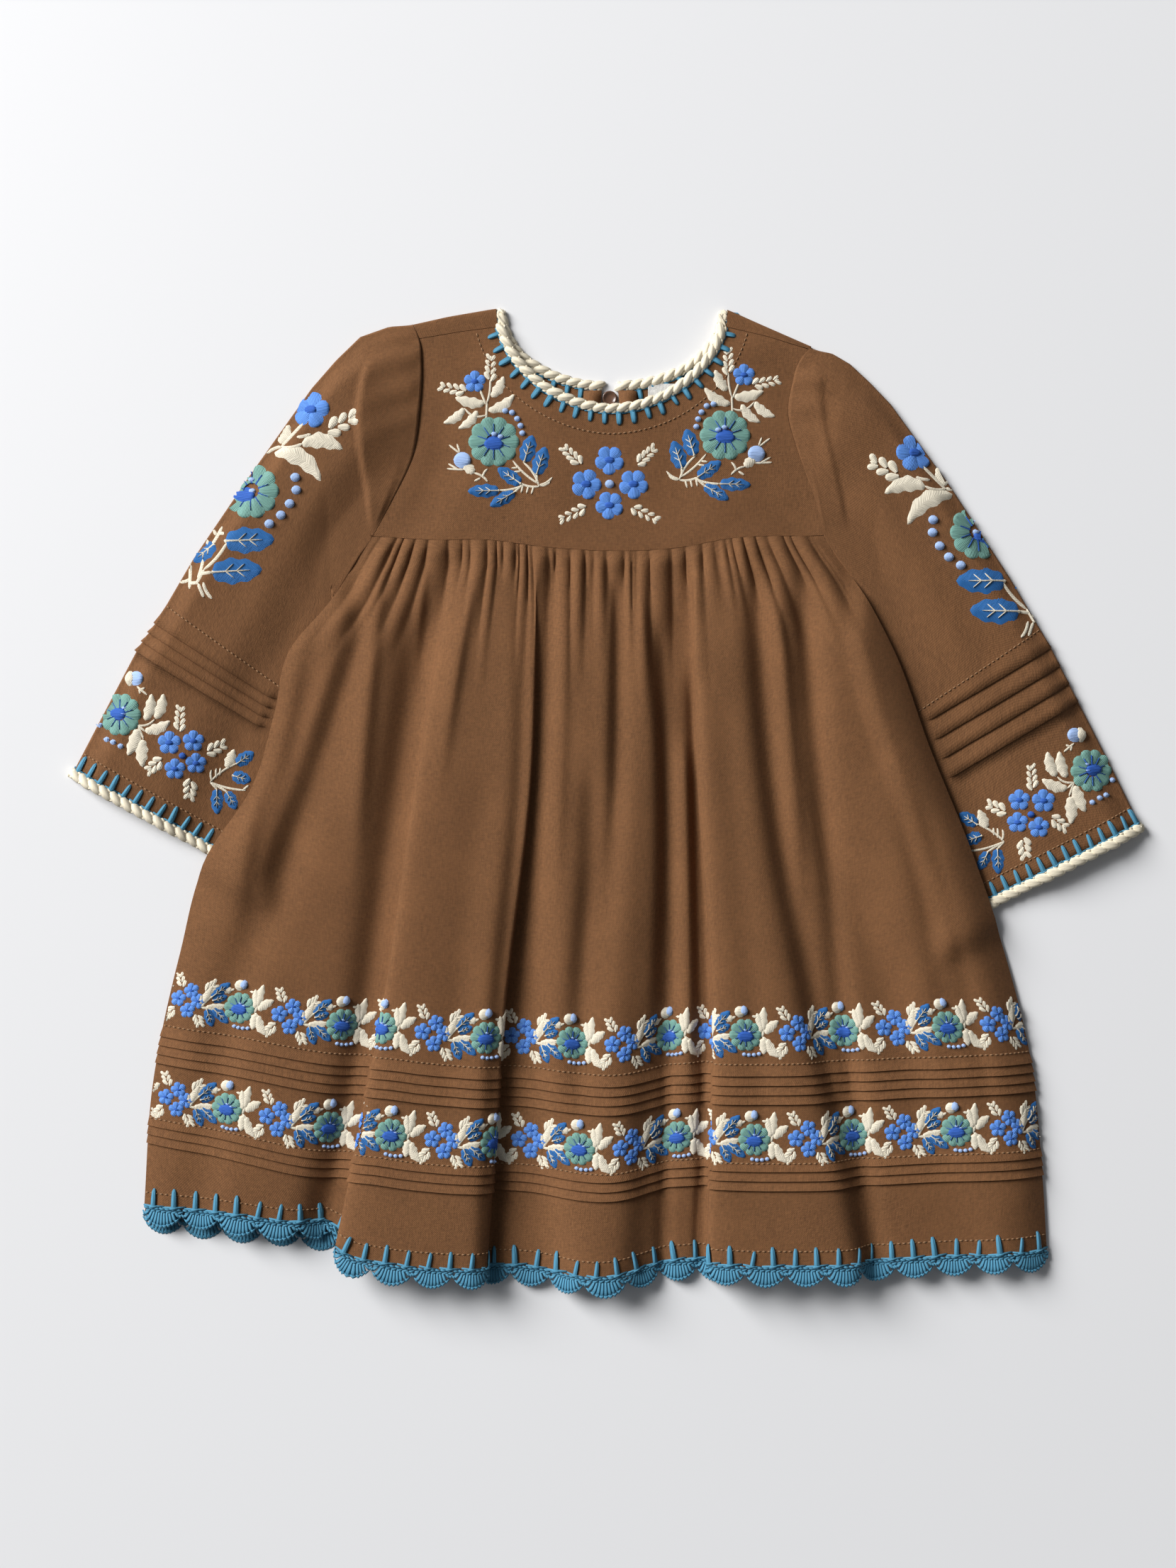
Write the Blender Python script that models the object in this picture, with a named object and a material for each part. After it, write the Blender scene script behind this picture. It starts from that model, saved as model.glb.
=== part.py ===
"""Long sleeve dress for a toddler, laid flat with its front up and its sleeves swept to the sides.

Sizes are in millimetres and become metres when a mesh is made. X points to the right of the laid
dress, Y to the neck and Z up from the surface it lies on. The back lies on that surface, the
sleeves lie beside it with their inner strips under the skirt, and the front lies on top.
Rows of a panel run from its top seam to its lower edge, and columns from left to right.
"""
import math

import bmesh
import bpy
import numpy as np

MM = 0.001
COLLECTION = "long_sleeve_dress"
WALL = 1.2
HALF = WALL / 2
SEAM = 0.3
LAYER = WALL + SEAM
FLOOR_LEVEL = HALF
FRONT_LEVEL = 3.0
YOKE_BULGE = 1.9
YOKE_BULGE_START = 10.0
YOKE_BULGE_RAMP = 32.0
SHOULDER_RAMP = (268.0, 22.0)
SLEEVE_LIFT = 4.4
SLEEVE_CLEAR = 1.12
GATHER_HEIGHT = 1.25
GATHER_FADE = 0.17
GATHER_LIFT = 0.6
GATHER_SIDE = 14.0
TUCK_HEIGHT = 1.0
TUCK_DROP = 0.0015
TUCK_PITCH = 0.0130
EDGING_DEPTH = 11.0
EDGING_NOTCH = 5.5
EDGING_PITCH = 22.0
EDGING_GAP = 0.6
BRAID_WIDTH = 6.6
BRAID_NOTCH = 5.2
BRAID_PITCH = 7.0
CUFF_BRAID = 7.0
BUTTON_RADIUS = 4.25
BUTTON_THICK = 2.0
BUTTON_PLACE = (2.0, 227.0, 1.3)
FACING_LEFT, FACING_RIGHT = -12.5, 16.8
FACING_SPAN = (231.0, 150.0)
FACING_ROWS = 9
LABEL_SIDES = (23.6, 42.0)
LABEL_SPAN = (235.0, 222.0)
LABEL_THICK = 1.0

# Side edges of the skirt, as x at each y
SKIRT_LEFT_EDGE = {"y": (148.8, 147, 112, 86, 50, 8, -30, -85, -160, -230),
                   "x": (-131.6, -133, -155, -177, -186, -199, -224, -240, -255.5, -260)}
SKIRT_RIGHT_EDGE = {"y": (149, 147, 124, 85, 31, -31, -88, -140, -211, -252),
                    "x": (122.4, 123.4, 139.6, 161, 181, 206, 225, 238, 245.6, 248)}
LEFT_SPAN = (148.8, 378.8)
RIGHT_SPAN = (149.0, 401.0)
FOLD_SPAN = (146.0, 402.0)

# Seam between the yoke and the gathered skirt, as y at each x
YOKE_SEAM = {"x": (-131, -92, -72, -31, 2, 40, 69, 122),
             "y": (149, 146.6, 147.0, 142.4, 140.6, 142.2, 147.4, 149.4)}

# Lower edge of the cloth, as y at each x: where the tucks point to, and the pull up past it
FRONT_HEM = {"x": (-260, -216, -166, -141, -118, -92, -51, 0, 38, 91, 127, 174, 248),
             "y": (-232, -241, -253, -254.5, -258, -260.3, -261.4, -265.6, -258.6, -258.8,
                   -258.6, -256, -252.6)}
HEM_PULL = {"x": (-260, -216, -166, -159, -139, 248), "rise": (4, 10, 17, 18, 0, 0)}
BACK_HEM = {"x": (-260, -205, -155, -60, 100, 248), "y": (-232, -238, -243, -251, -251, -249)}

# Folds of the front skirt: x at four levels of y, rise to the right, width and lean of the edge
FOLD_LEVELS = (132.0, 12.0, -116.0, -256.0)
FOLD_COLUMNS = ("x_top", "x_mid", "x_low", "x_hem", "rise_top", "rise_hem", "soft", "lean_top",
                "lean_hem")
FOLDS = (
    (-140, -174, -222, -246, -3, -2, 9, 0, 0),
    (-130, -154, -202, -222, 4, 4, 10, 0, 0),
    (-102, -118, -134, -166, -6, -7, 12, 0, 0),
    (-86, -106, -124, -150, 9, 13, 6, 1, 6),
    (-39, -42.4, -57.2, -67.2, -9, -12, 4, 2, 3),
    (-34, -37.2, -34.8, -24, 8, 10, 11, 0, 0),
    (1.2, -2, -22, -30, -6, 0, 6, 0, 0),
    (8.8, 10, -2, -10, 6, 0, 6, 0, 0),
    (25.2, 27.2, 20, 16, -6, -9, 9, 0, 0),
    (48.8, 52, 61.2, 58.8, 9, 12, 4, 2, 5),
    (79.2, 88, 112, 146.4, -6, -8, 8, 0, 0),
    (90.8, 102, 130, 170, 5, 0, 8, 0, 0),
    (104, 110, 150, 190, -5, 0, 8, 0, 0),
    (116.4, 124, 170, 215, 5, 2, 9, 0, 0),
)
LEFT_FOLD, INNER_FOLD, RIGHT_FOLD = 3, 4, 9
SKIRT_STATIONS = (0.0, 0.2, 0.37, 0.69, 1.0)
SKIRT_SEGMENTS = (9, 9, 12, 12)
SIDE_ROLL = 30.0
ROLL_HEIGHT = 6.0
LEAST_LOFT = 0.8
TOP_LOFT = 0.35
LOFT_GROWTH = 0.18
LEAN_PEAK = math.sqrt(0.5) * math.exp(-0.5)
HEM_RAMP = 0.89
CROWDING = 0.8

SKIRT_FINE_ROWS = (0.0, 0.012, 0.035, 0.06, 0.09, 0.12)
SKIRT_ROWS = (0.17, 0.24, 0.32, 0.38, 0.43, 0.46, 0.49, 0.52, 0.55, 0.59, 0.65, 0.715)
UPPER_TUCKS, UPPER_COUNT = 0.735, 4
LOWER_TUCKS, LOWER_COUNT = 0.866, 3
BACK_COLUMNS = 30
BACK_CROWD = 0.6

# Armholes, as x at each y
ARMHOLE_LEFT = {"y": (268.6, 258, 247, 220, 192, 171, 149),
                "x": (-108.6, -104.6, -103.6, -104.8, -109.2, -119.2, -131.2)}
ARMHOLE_RIGHT = {"y": (256.4, 247, 234, 217, 204, 187, 170, 149.4),
                 "x": (115.4, 108.4, 104.4, 102.3, 105.4, 111.2, 117.4, 122.2)}

# Neck edges of the cloth, as parts of rounded curves
NECK_CENTRE = (3.2, 275.0)
NECK_FRONT = {"across": 65.5, "down": 56.5, "power": 1.87}
NECK_BACK = {"across": 64.0, "down": 43.5, "power": 2.05}
SHOULDER_SEAM_LEFT = ((-105.2, 260.2), (-83.0, 264.0), (-61.4, 266.8))
SHOULDER_SEAM_RIGHT = ((67.8, 266.8), (91.0, 261.4), (113.6, 254.4))
SHOULDER_FOLD_LEFT = ((-108.4, 268.2), (-88.8, 272.6), (-62.0, 277.2))
SHOULDER_FOLD_RIGHT = ((68.4, 276.6), (84.0, 269.6), (115.0, 256.0))
SHOULDER_STEPS = 4
NECK_STEPS = 9
NECK_START = 0.03
SHOULDER_RADIUS = 1.2
YOKE_ROWS = (0.0, 0.1, 0.2, 0.34, 0.48, 0.62, 0.76, 0.88, 1.0)
KEYHOLE_X = 2.2
KEYHOLE = {"y": (232.0, 227.0, 219.0, 200.0, 157.0, 140.0),
           "half": (4.6, 5.3, 5.6, 3.0, 0.15, 0.15)}

# Sleeves, from the armhole to the cuff: outer edge, inner edge, bow of the row and puff
SLEEVE_COLUMNS = ("outer_x", "outer_y", "inner_x", "inner_y", "bow", "puff")
SLEEVE_LEFT = (
    (-108.9, 268.4, -132.2, 150.0, 0.0, 1.0),
    (-122.0, 267.0, -135.6, 144.5, 9.0, 3.0),
    (-138.4, 261.2, -140.4, 138.0, 6.0, 4.5),
    (-152.0, 248.0, -147.6, 126.0, 4.0, 5.0),
    (-165.6, 232.4, -154.8, 114.0, 2.0, 5.0),
    (-200.0, 184.0, -150.5, 91.0, 0.0, 5.0),
    (-232.0, 136.8, -160.0, 66.0, 0.0, 5.0),
    (-252.9, 101.0, -167.0, 46.0, 0.0, 4.5),
    (-263.6, 85.6, -172.5, 30.0, 0.0, 4.5),
    (-282.0, 50.6, -184.4, -5.2, 0.0, 4.5),
    (-299.2, 17.6, -196.0, -39.6, 0.0, 4.5),
)
SLEEVE_RIGHT = (
    (115.7, 256.2, 123.4, 150.4, 0.0, 1.0),
    (127.0, 252.0, 127.6, 143.4, 9.0, 3.0),
    (137.2, 246.0, 132.4, 136.0, 6.0, 4.5),
    (148.4, 235.6, 141.4, 124.0, 4.0, 5.0),
    (160.0, 223.5, 148.6, 112.0, 2.0, 5.0),
    (192.8, 178.4, 146.0, 88.5, 0.0, 5.0),
    (227.2, 125.6, 153.5, 55.0, 0.0, 5.0),
    (250.0, 87.0, 161.0, 34.0, 0.0, 4.5),
    (265.2, 56.8, 172.0, 1.0, 0.0, 4.5),
    (283.6, 20.6, 183.6, -33.4, 0.0, 4.5),
    (300.0, -12.8, 194.8, -66.0, 0.0, 4.5),
)
SLEEVE_FIRST_TUCK = 7
SLEEVE_TUCKS = 4
SLEEVE_TUCK_HEIGHT = 0.8
SLEEVE_GAP = 2.4
SLEEVE_HIDDEN = 0.72
ARMHOLE_GAP = 0.45
UNDERARM_GAP = 0.9
PUFF_START = 0.14
PUFF_END = 0.3
LIFT_START, LIFT_FULL = 140.0, 113.0
LIFT_RAMP = 14.0

BROWN = (0.180, 0.088, 0.040, 1)
CREAM = (0.77, 0.68, 0.51, 1)
BLUE = (0.070, 0.262, 0.428, 1)
PALE = (0.80, 0.79, 0.76, 1)
DARK = (0.10, 0.05, 0.03, 1)


def smooth_curve(stations, values, at):
    """Read a smooth curve through the values at rising stations, held level past both ends."""
    stations = np.asarray(stations, float)
    values = np.asarray(values, float)
    at = np.clip(at, stations[0], stations[-1])
    slopes = np.gradient(values, stations)
    left = np.clip(np.searchsorted(stations, at) - 1, 0, len(stations) - 2)
    span = stations[left + 1] - stations[left]
    t = (at - stations[left]) / span
    rise = values[left + 1] - values[left]
    start = slopes[left] * span
    end = slopes[left + 1] * span
    return values[left] + start * t + (3 * rise - 2 * start - end) * t**2 + (start + end - 2 * rise) * t**3


def edge_x(edge, y):
    """Give the x of a side edge or an armhole at the height y."""
    return smooth_curve(-np.asarray(edge["y"], float), edge["x"], -np.asarray(y, float))


def ease(t):
    """Rise smoothly from 0 at t = 0 to 1 at t = 1."""
    t = np.clip(t, 0.0, 1.0)
    return t * t * (3 - 2 * t)


def seam_y(x):
    """Give the y of the gathered seam under the yoke."""
    return smooth_curve(YOKE_SEAM["x"], YOKE_SEAM["y"], x)


def neck_point(neck, turn):
    """Give a point of a neck edge, for turns from 0 at its left end to 1 at its right end."""
    angle = np.pi * (1 - np.asarray(turn, float))
    across = np.sign(np.cos(angle)) * np.abs(np.cos(angle)) ** (2 / neck["power"])
    down = np.abs(np.sin(angle)) ** (2 / neck["power"])
    x = NECK_CENTRE[0] + neck["across"] * across
    y = NECK_CENTRE[1] - neck["down"] * down
    return np.stack([x, y], axis=-1)


def along(points, t):
    """Walk along a polyline by length, from 0 to 1."""
    points = np.asarray(points, float)
    steps = np.linalg.norm(np.diff(points, axis=0), axis=1)
    length = np.concatenate([[0.0], np.cumsum(steps)])
    at = np.asarray(t, float) * length[-1]
    return np.stack([np.interp(at, length, points[:, k]) for k in range(points.shape[1])], axis=-1)


def sleeve_inner_x(sleeve, y):
    """Give the x of a sleeve's inner edge, which lies under the skirt, at the height y."""
    rows = np.array(sleeve)[4:]
    return np.interp(-y, -rows[:, 3], rows[:, 2])


def past_cuff(sleeve, x, y):
    """Give the distance of a point beyond the line of a sleeve's cuff."""
    outer = np.array(sleeve[-1][0:2])
    inner = np.array(sleeve[-1][2:4])
    run = (inner - outer) / np.linalg.norm(inner - outer)
    side = np.array([run[1], -run[0]])
    if side[1] > 0:
        side = -side
    return (x - outer[0]) * side[0] + (y - outer[1]) * side[1]


def back_level(x, y):
    """Give the height of the back skirt's middle surface, which rises over the sleeves' strips."""
    x = np.asarray(x, float)
    y = np.asarray(y, float)
    lift = np.zeros(np.broadcast(x, y).shape)
    for sleeve, side in ((SLEEVE_LEFT, 1), (SLEEVE_RIGHT, -1)):
        inside = (x - sleeve_inner_x(sleeve, y)) * side
        beside = ease(1 - (inside - 1.5) / LIFT_RAMP)
        below = ease(1 - (past_cuff(sleeve, x, y) - CUFF_BRAID - 2) / LIFT_RAMP)
        lift = np.maximum(lift, beside * below)
    return FLOOR_LEVEL + SLEEVE_LIFT * lift * ease((LIFT_START - y) / (LIFT_START - LIFT_FULL))


def yoke_level(x, y):
    """Give the height of the front yoke's middle surface, a little bulged between its seams."""
    left = x - edge_x(ARMHOLE_LEFT, y)
    right = edge_x(ARMHOLE_RIGHT, y) - x
    across = ease((np.minimum(left, right) - YOKE_BULGE_START) / YOKE_BULGE_RAMP)
    down = ease((SHOULDER_RAMP[0] - y) / SHOULDER_RAMP[1])
    return FRONT_LEVEL + YOKE_BULGE * across * down


def fold_x(fold, y):
    """Give the x of a fold's line at the height y."""
    levels = -np.array(FOLD_LEVELS)
    return smooth_curve(levels, fold[0:4], -np.asarray(y, float))


def skirt_row(v):
    """Give the places of the skirt's two edges and of its three folded lines, down at v."""
    left = edge_x(SKIRT_LEFT_EDGE, LEFT_SPAN[0] - LEFT_SPAN[1] * v)
    right = edge_x(SKIRT_RIGHT_EDGE, RIGHT_SPAN[0] - RIGHT_SPAN[1] * v)
    y = FOLD_SPAN[0] - FOLD_SPAN[1] * v
    lines = [fold_x(FOLDS[k], y) for k in (LEFT_FOLD, INNER_FOLD, RIGHT_FOLD)]
    return np.array([left, *lines, right])


def skirt_x(a, v):
    """Give the x of the skirt's laid cloth before its folds lean, for a from 0 to 1 across."""
    return np.interp(a, SKIRT_STATIONS, skirt_row(v))


def hem_y(x):
    """Give the y of the front hem before the left side is pulled up."""
    return smooth_curve(FRONT_HEM["x"], FRONT_HEM["y"], x)


def folds_at(x, y, v):
    """Add up the folds' heights and the shifts of their leaning edges."""
    height = np.zeros_like(x)
    shift = np.zeros_like(x)
    for fold in FOLDS:
        named = dict(zip(FOLD_COLUMNS, fold))
        t = (x - fold_x(fold, y)) / named["soft"]
        rise = named["rise_top"] + (named["rise_hem"] - named["rise_top"]) * v
        lean = (named["lean_top"] + (named["lean_hem"] - named["lean_top"]) * v) * ease(v / 0.1)
        height = height + rise * 0.5 * (1 + np.tanh(t))
        shift = shift - lean * t * np.exp(-t * t) / LEAN_PEAK
    return height, shift


def front_skirt_point(a, v):
    """Give points of the front skirt's middle surface, without its gathers."""
    a = np.atleast_1d(np.asarray(a, float))
    x = skirt_x(a, v)
    top_x = skirt_x(a, 0.0)
    hem_x = skirt_x(a, 1.0)
    top = seam_y(top_x) - SEAM / 2
    pull = np.interp(hem_x, HEM_PULL["x"], HEM_PULL["rise"]) * ease((v - HEM_RAMP) / (1 - HEM_RAMP))
    y = top + v * (hem_y(hem_x) - top) + pull
    height, shift = folds_at(x, y, v)
    row = skirt_row(v)
    side = np.minimum(x - row[0], row[-1] - x)
    window = 1 - (1 - np.clip(side / SIDE_ROLL, 0, 1)) ** 2
    loft = window * np.maximum(height + ROLL_HEIGHT, LEAST_LOFT)
    grown = ease(v / LOFT_GROWTH)
    under = FLOOR_LEVEL + LAYER + SLEEVE_CLEAR * (back_level(x, y) - FLOOR_LEVEL)
    resting = under + loft * (TOP_LOFT + (1 - TOP_LOFT) * grown)
    seam = np.maximum(yoke_level(top_x, seam_y(top_x)), under)
    z = seam + (resting - seam) * ease(v / 0.05)
    return np.stack([x + shift * window, y, z], axis=-1)


def cell_faces(rows, columns, ring, coarse_from, hidden):
    """List the faces of a grid seen from outside, each row of cells from left to right."""
    faces = []
    cells = columns if ring else columns - 1
    for r in range(rows - 1):
        if r >= coarse_from:
            spans = [(c, c + 2) for c in range(0, cells, 2)]
        elif r + 1 >= coarse_from:
            for c in range(0, cells, 2):
                first, last = c, c + 2
                faces.append([(r, first), (r + 1, first), (r, first + 1)])
                faces.append([(r, first + 1), (r + 1, first), (r + 1, last)])
                faces.append([(r, first + 1), (r + 1, last), (r, last)])
            continue
        else:
            spans = [(c, c + 1) for c in range(cells)]
        for first, last in spans:
            if not hidden(r, first):
                last = last % columns
                faces.append([(r, first), (r + 1, first), (r + 1, last), (r, last)])
    return faces


def flatten_rims(normals, points, ring):
    """Turn the normals of a panel's edges upright along its rows and columns, so seams stay clear."""
    rows = [(0, points[1] - points[0]), (-1, points[-1] - points[-2])]
    for row, run in rows:
        run = run * np.array([1, 1, 0])
        run = run / (np.linalg.norm(run, axis=1, keepdims=True) + 1e-9)
        normals[row] -= np.sum(normals[row] * run, axis=1, keepdims=True) * run
    if not ring:
        for column, inner in ((0, 1), (-1, -2)):
            run = (points[:, inner] - points[:, column]) * np.array([1, 1, 0])
            run = run / (np.linalg.norm(run, axis=1, keepdims=True) + 1e-9)
            normals[:, column] -= np.sum(normals[:, column] * run, axis=1, keepdims=True) * run
    return normals / (np.linalg.norm(normals, axis=2, keepdims=True) + 1e-9)


def wall_object(name, points, material, relief=None, ring=False, coarse_from=10**6, hidden=None,
                wall=WALL, level_rims=True):
    """Make a closed wall of cloth round a grid of middle points, with any relief on its outer side."""
    rows, columns = points.shape[:2]
    hidden = hidden or (lambda r, c: False)
    faces = cell_faces(rows, columns, ring, coarse_from, hidden)
    normals = np.zeros_like(points)
    for face in faces:
        corners = np.array([points[p] for p in face])
        turn = np.cross(corners[2] - corners[0], corners[-1] - corners[1])
        if len(face) == 3:
            turn = np.cross(corners[1] - corners[0], corners[2] - corners[0])
        for p in face:
            normals[p] += turn
    normals = normals / (np.linalg.norm(normals, axis=2, keepdims=True) + 1e-9)
    if level_rims:
        normals = flatten_rims(normals, points, ring)
    raised = np.zeros((rows, columns)) if relief is None else relief
    outer = points + normals * (wall / 2 + raised)[..., None]
    inner = points - normals * (wall / 2)

    mesh = bmesh.new()
    used = sorted({p for face in faces for p in face})
    top = {p: mesh.verts.new(outer[p] * MM) for p in used}
    under = {p: mesh.verts.new(inner[p] * MM) for p in used}
    edges = set()
    for face in faces:
        mesh.faces.new([top[p] for p in face])
        mesh.faces.new([under[p] for p in reversed(face)])
        edges.update(zip(face, face[1:] + face[:1]))
    for start, end in edges:
        if (end, start) not in edges:
            mesh.faces.new([top[end], top[start], under[start], under[end]])
    finish_mesh(name, mesh, material)


def finish_mesh(name, mesh, material):
    """Turn a bmesh into an object of the dress."""
    data = bpy.data.meshes.new(name)
    mesh.to_mesh(data)
    mesh.free()
    data.materials.append(material)
    made = bpy.data.objects.new(name, data)
    bpy.data.collections[COLLECTION].objects.link(made)
    return made


def make_material(name, colour, roughness):
    """Make a plain material of one colour."""
    material = bpy.data.materials.new(name)
    material.use_nodes = True
    shader = material.node_tree.nodes["Principled BSDF"]
    shader.inputs["Base Color"].default_value = colour
    shader.inputs["Roughness"].default_value = roughness
    shader.inputs["Metallic"].default_value = 0.0
    return material


def skirt_columns(v, fine):
    """Place the columns across the front skirt: even in the gathers, close at the folds below."""
    crowd = CROWDING * ease((v - 0.05) / 0.3)
    step = 2 if fine else 1
    places = [0.0]
    for segment, count in enumerate(SKIRT_SEGMENTS):
        u = np.arange(1, count * step + 1) / (count * step)
        u = u - crowd * np.sin(2 * np.pi * u) / (2 * np.pi)
        start, end = SKIRT_STATIONS[segment:segment + 2]
        places.extend(start + (end - start) * u)
    return np.array(places)


def tuck_rows():
    """List the skirt's lower rows with the height of the tuck at each: a crest and then its foot."""
    rows = []
    for first, count in ((UPPER_TUCKS, UPPER_COUNT), (LOWER_TUCKS, LOWER_COUNT)):
        for k in range(count):
            edge = first + TUCK_PITCH * k
            rows.append((edge, TUCK_HEIGHT))
            rows.append((edge + TUCK_DROP, 0.0))
        if first == UPPER_TUCKS:
            rows.extend([(0.80, 0.0), (0.845, 0.0)])
    return rows + [(0.93, 0.0), (0.975, 0.0), (1.0, 0.0)]


def make_front_skirt(material):
    """Make the gathered front skirt with its folds, its seven pin tucks and its uneven hem."""
    gather = np.random.default_rng(7)
    crests = gather.uniform(0.55, 1.0, 2 * sum(SKIRT_SEGMENTS) + 1) * GATHER_HEIGHT
    lengths = gather.uniform(0.35, 1.0, 2 * sum(SKIRT_SEGMENTS) + 1) * GATHER_FADE
    levels = [(v, 0.0) for v in SKIRT_FINE_ROWS + SKIRT_ROWS] + tuck_rows()
    points = []
    relief = []
    for v, tuck in levels:
        row = front_skirt_point(skirt_columns(v, True), v)
        swing = np.where(np.arange(len(row)) % 2 == 1, 1.0, -1.0)
        fading = (0.4 + 0.6 * ease(v / 0.02)) * ease(1 - v / lengths)
        side = np.minimum(row[:, 0] - row[0, 0], row[-1, 0] - row[:, 0])
        lifted = GATHER_LIFT * ease(1 - v / GATHER_FADE)
        row[:, 2] += (crests * swing * fading + lifted) * ease(side / GATHER_SIDE)
        points.append(row)
        relief.append(np.full(len(row), tuck))
    points = np.array(points)
    wall_object("front_skirt", points, material, relief=np.array(relief),
                coarse_from=len(SKIRT_FINE_ROWS))
    return points[-1, ::2]


def back_skirt_point(a, v):
    """Give points of the back skirt's middle surface, flat on the floor but for the sleeves."""
    row = skirt_row(v)
    x = row[0] + (row[-1] - row[0]) * a
    first = skirt_row(0.0)
    last = skirt_row(1.0)
    top_x = first[0] + (first[-1] - first[0]) * a
    hem_x = last[0] + (last[-1] - last[0]) * a
    top = seam_y(top_x) - SEAM / 2
    hem = np.interp(hem_x, BACK_HEM["x"], BACK_HEM["y"])
    front = top + v * (hem_y(hem_x) - top)
    y = front + (hem - hem_y(hem_x)) * ease((v - HEM_RAMP) / (1 - HEM_RAMP))
    return np.stack([x, y, back_level(x, y)], axis=-1)


def make_back_skirt(material):
    """Make the back skirt, which lies on the floor and over the hidden strips of the sleeves."""
    a = np.linspace(0, 1, BACK_COLUMNS + 1)
    a = a - BACK_CROWD * np.sin(2 * np.pi * a) / (2 * np.pi)
    levels = (0.0, 0.035, 0.06, 0.09, 0.12, 0.17, 0.24, 0.32, 0.38, 0.43, 0.46, 0.49, 0.52, 0.55,
              0.59, 0.65, 0.89, 1.0)
    points = np.array([back_skirt_point(a, v) for v in levels])
    wall_object("back_skirt", points, material)
    return points[-1]


def make_edging(name, hem, material, finer):
    """Make the scalloped crochet edging from the points of the hem that it hangs on."""
    places = np.linspace(0, len(hem) - 1, (len(hem) - 1) * finer + 1)
    edge = np.stack([np.interp(places, np.arange(len(hem)), hem[:, k]) for k in range(3)], axis=-1)
    steps = np.linalg.norm(np.diff(edge, axis=0), axis=1)
    length = np.concatenate([[0.0], np.cumsum(steps)])
    shells = round(length[-1] / EDGING_PITCH)
    wave = np.abs(np.sin(np.pi * shells * length / length[-1]))
    depth = EDGING_NOTCH + (EDGING_DEPTH - EDGING_NOTCH) * wave
    rows = []
    for part in (0.0, 1.0):
        row = edge.copy()
        row[:, 1] -= EDGING_GAP + depth * part
        rows.append(row)
    wall_object(name, np.array(rows), material)


def coons(top, bottom, left, right, rows):
    """Fill four edges with a grid, its rows at the given places from top to bottom."""
    columns = np.linspace(0, 1, len(top))
    grid = []
    for w, start, end in zip(rows, left, right):
        plain = (1 - w) * top + w * bottom
        fix_left = start - plain[0]
        fix_right = end - plain[-1]
        near_left = (1 - columns)[:, None] ** 3
        near_right = columns[:, None] ** 3
        grid.append(plain + near_left * fix_left + near_right * fix_right)
    return np.array(grid)


def armhole_rows(seam, hole):
    """Give the heights at which the pieces meet along an armhole, from its seam down."""
    top = seam[0][1] if hole is ARMHOLE_LEFT else seam[-1][1]
    bottom = hole["y"][-1]
    return top + (bottom - top) * np.array(YOKE_ROWS)


def armhole_line(hole, heights):
    """Give the points of an armhole at the given heights."""
    return np.stack([edge_x(hole, heights), heights], axis=-1)


def seam_line(first, last, count):
    """Give points of the gathered seam from one x to another."""
    x = np.linspace(first, last, count)
    return np.stack([x, seam_y(x) + SEAM / 2], axis=-1)


def neck_ends():
    """Give the turns of the front neck edge at which it meets the two shoulder seams."""
    turns = np.linspace(0, 0.5, 2001)
    rise = neck_point(NECK_FRONT, turns)[:, 1]
    return float(np.interp(-SHOULDER_SEAM_LEFT[-1][1], -rise, turns))


def make_front_yoke(material):
    """Make the front yoke between the shoulder seams, the neck, the armholes and the skirt."""
    end = neck_ends()
    left_top = along(SHOULDER_SEAM_LEFT, np.linspace(0, 1, SHOULDER_STEPS + 1))
    right_top = along(SHOULDER_SEAM_RIGHT, np.linspace(0, 1, SHOULDER_STEPS + 1))
    neck = neck_point(NECK_FRONT, np.linspace(end, 1 - end, 2 * NECK_STEPS + 1))
    top = np.concatenate([left_top[:-1], neck, right_top[1:]])
    top[:SHOULDER_STEPS + 1, 1] -= SEAM / 2
    top[-SHOULDER_STEPS - 1:, 1] -= SEAM / 2
    left = armhole_line(ARMHOLE_LEFT, armhole_rows(SHOULDER_SEAM_LEFT, ARMHOLE_LEFT))
    right = armhole_line(ARMHOLE_RIGHT, armhole_rows(SHOULDER_SEAM_RIGHT, ARMHOLE_RIGHT))
    bottom = seam_line(left[-1][0], right[-1][0], len(top))
    left[0], right[0] = top[0], top[-1]
    left[-1], right[-1] = bottom[0], bottom[-1]
    flat = coons(top, bottom, left, right, YOKE_ROWS)
    points = np.concatenate([flat, yoke_level(flat[..., 0], flat[..., 1])[..., None]], axis=-1)
    wall_object("front_yoke", points, material)
    return points[0, SHOULDER_STEPS:-SHOULDER_STEPS]


def keyhole_edge(y, side):
    """Give the x of the edge of the back opening at the height y, on its left or right side."""
    return KEYHOLE_X + side * smooth_curve(-np.array(KEYHOLE["y"]), KEYHOLE["half"], -np.asarray(y))


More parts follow.
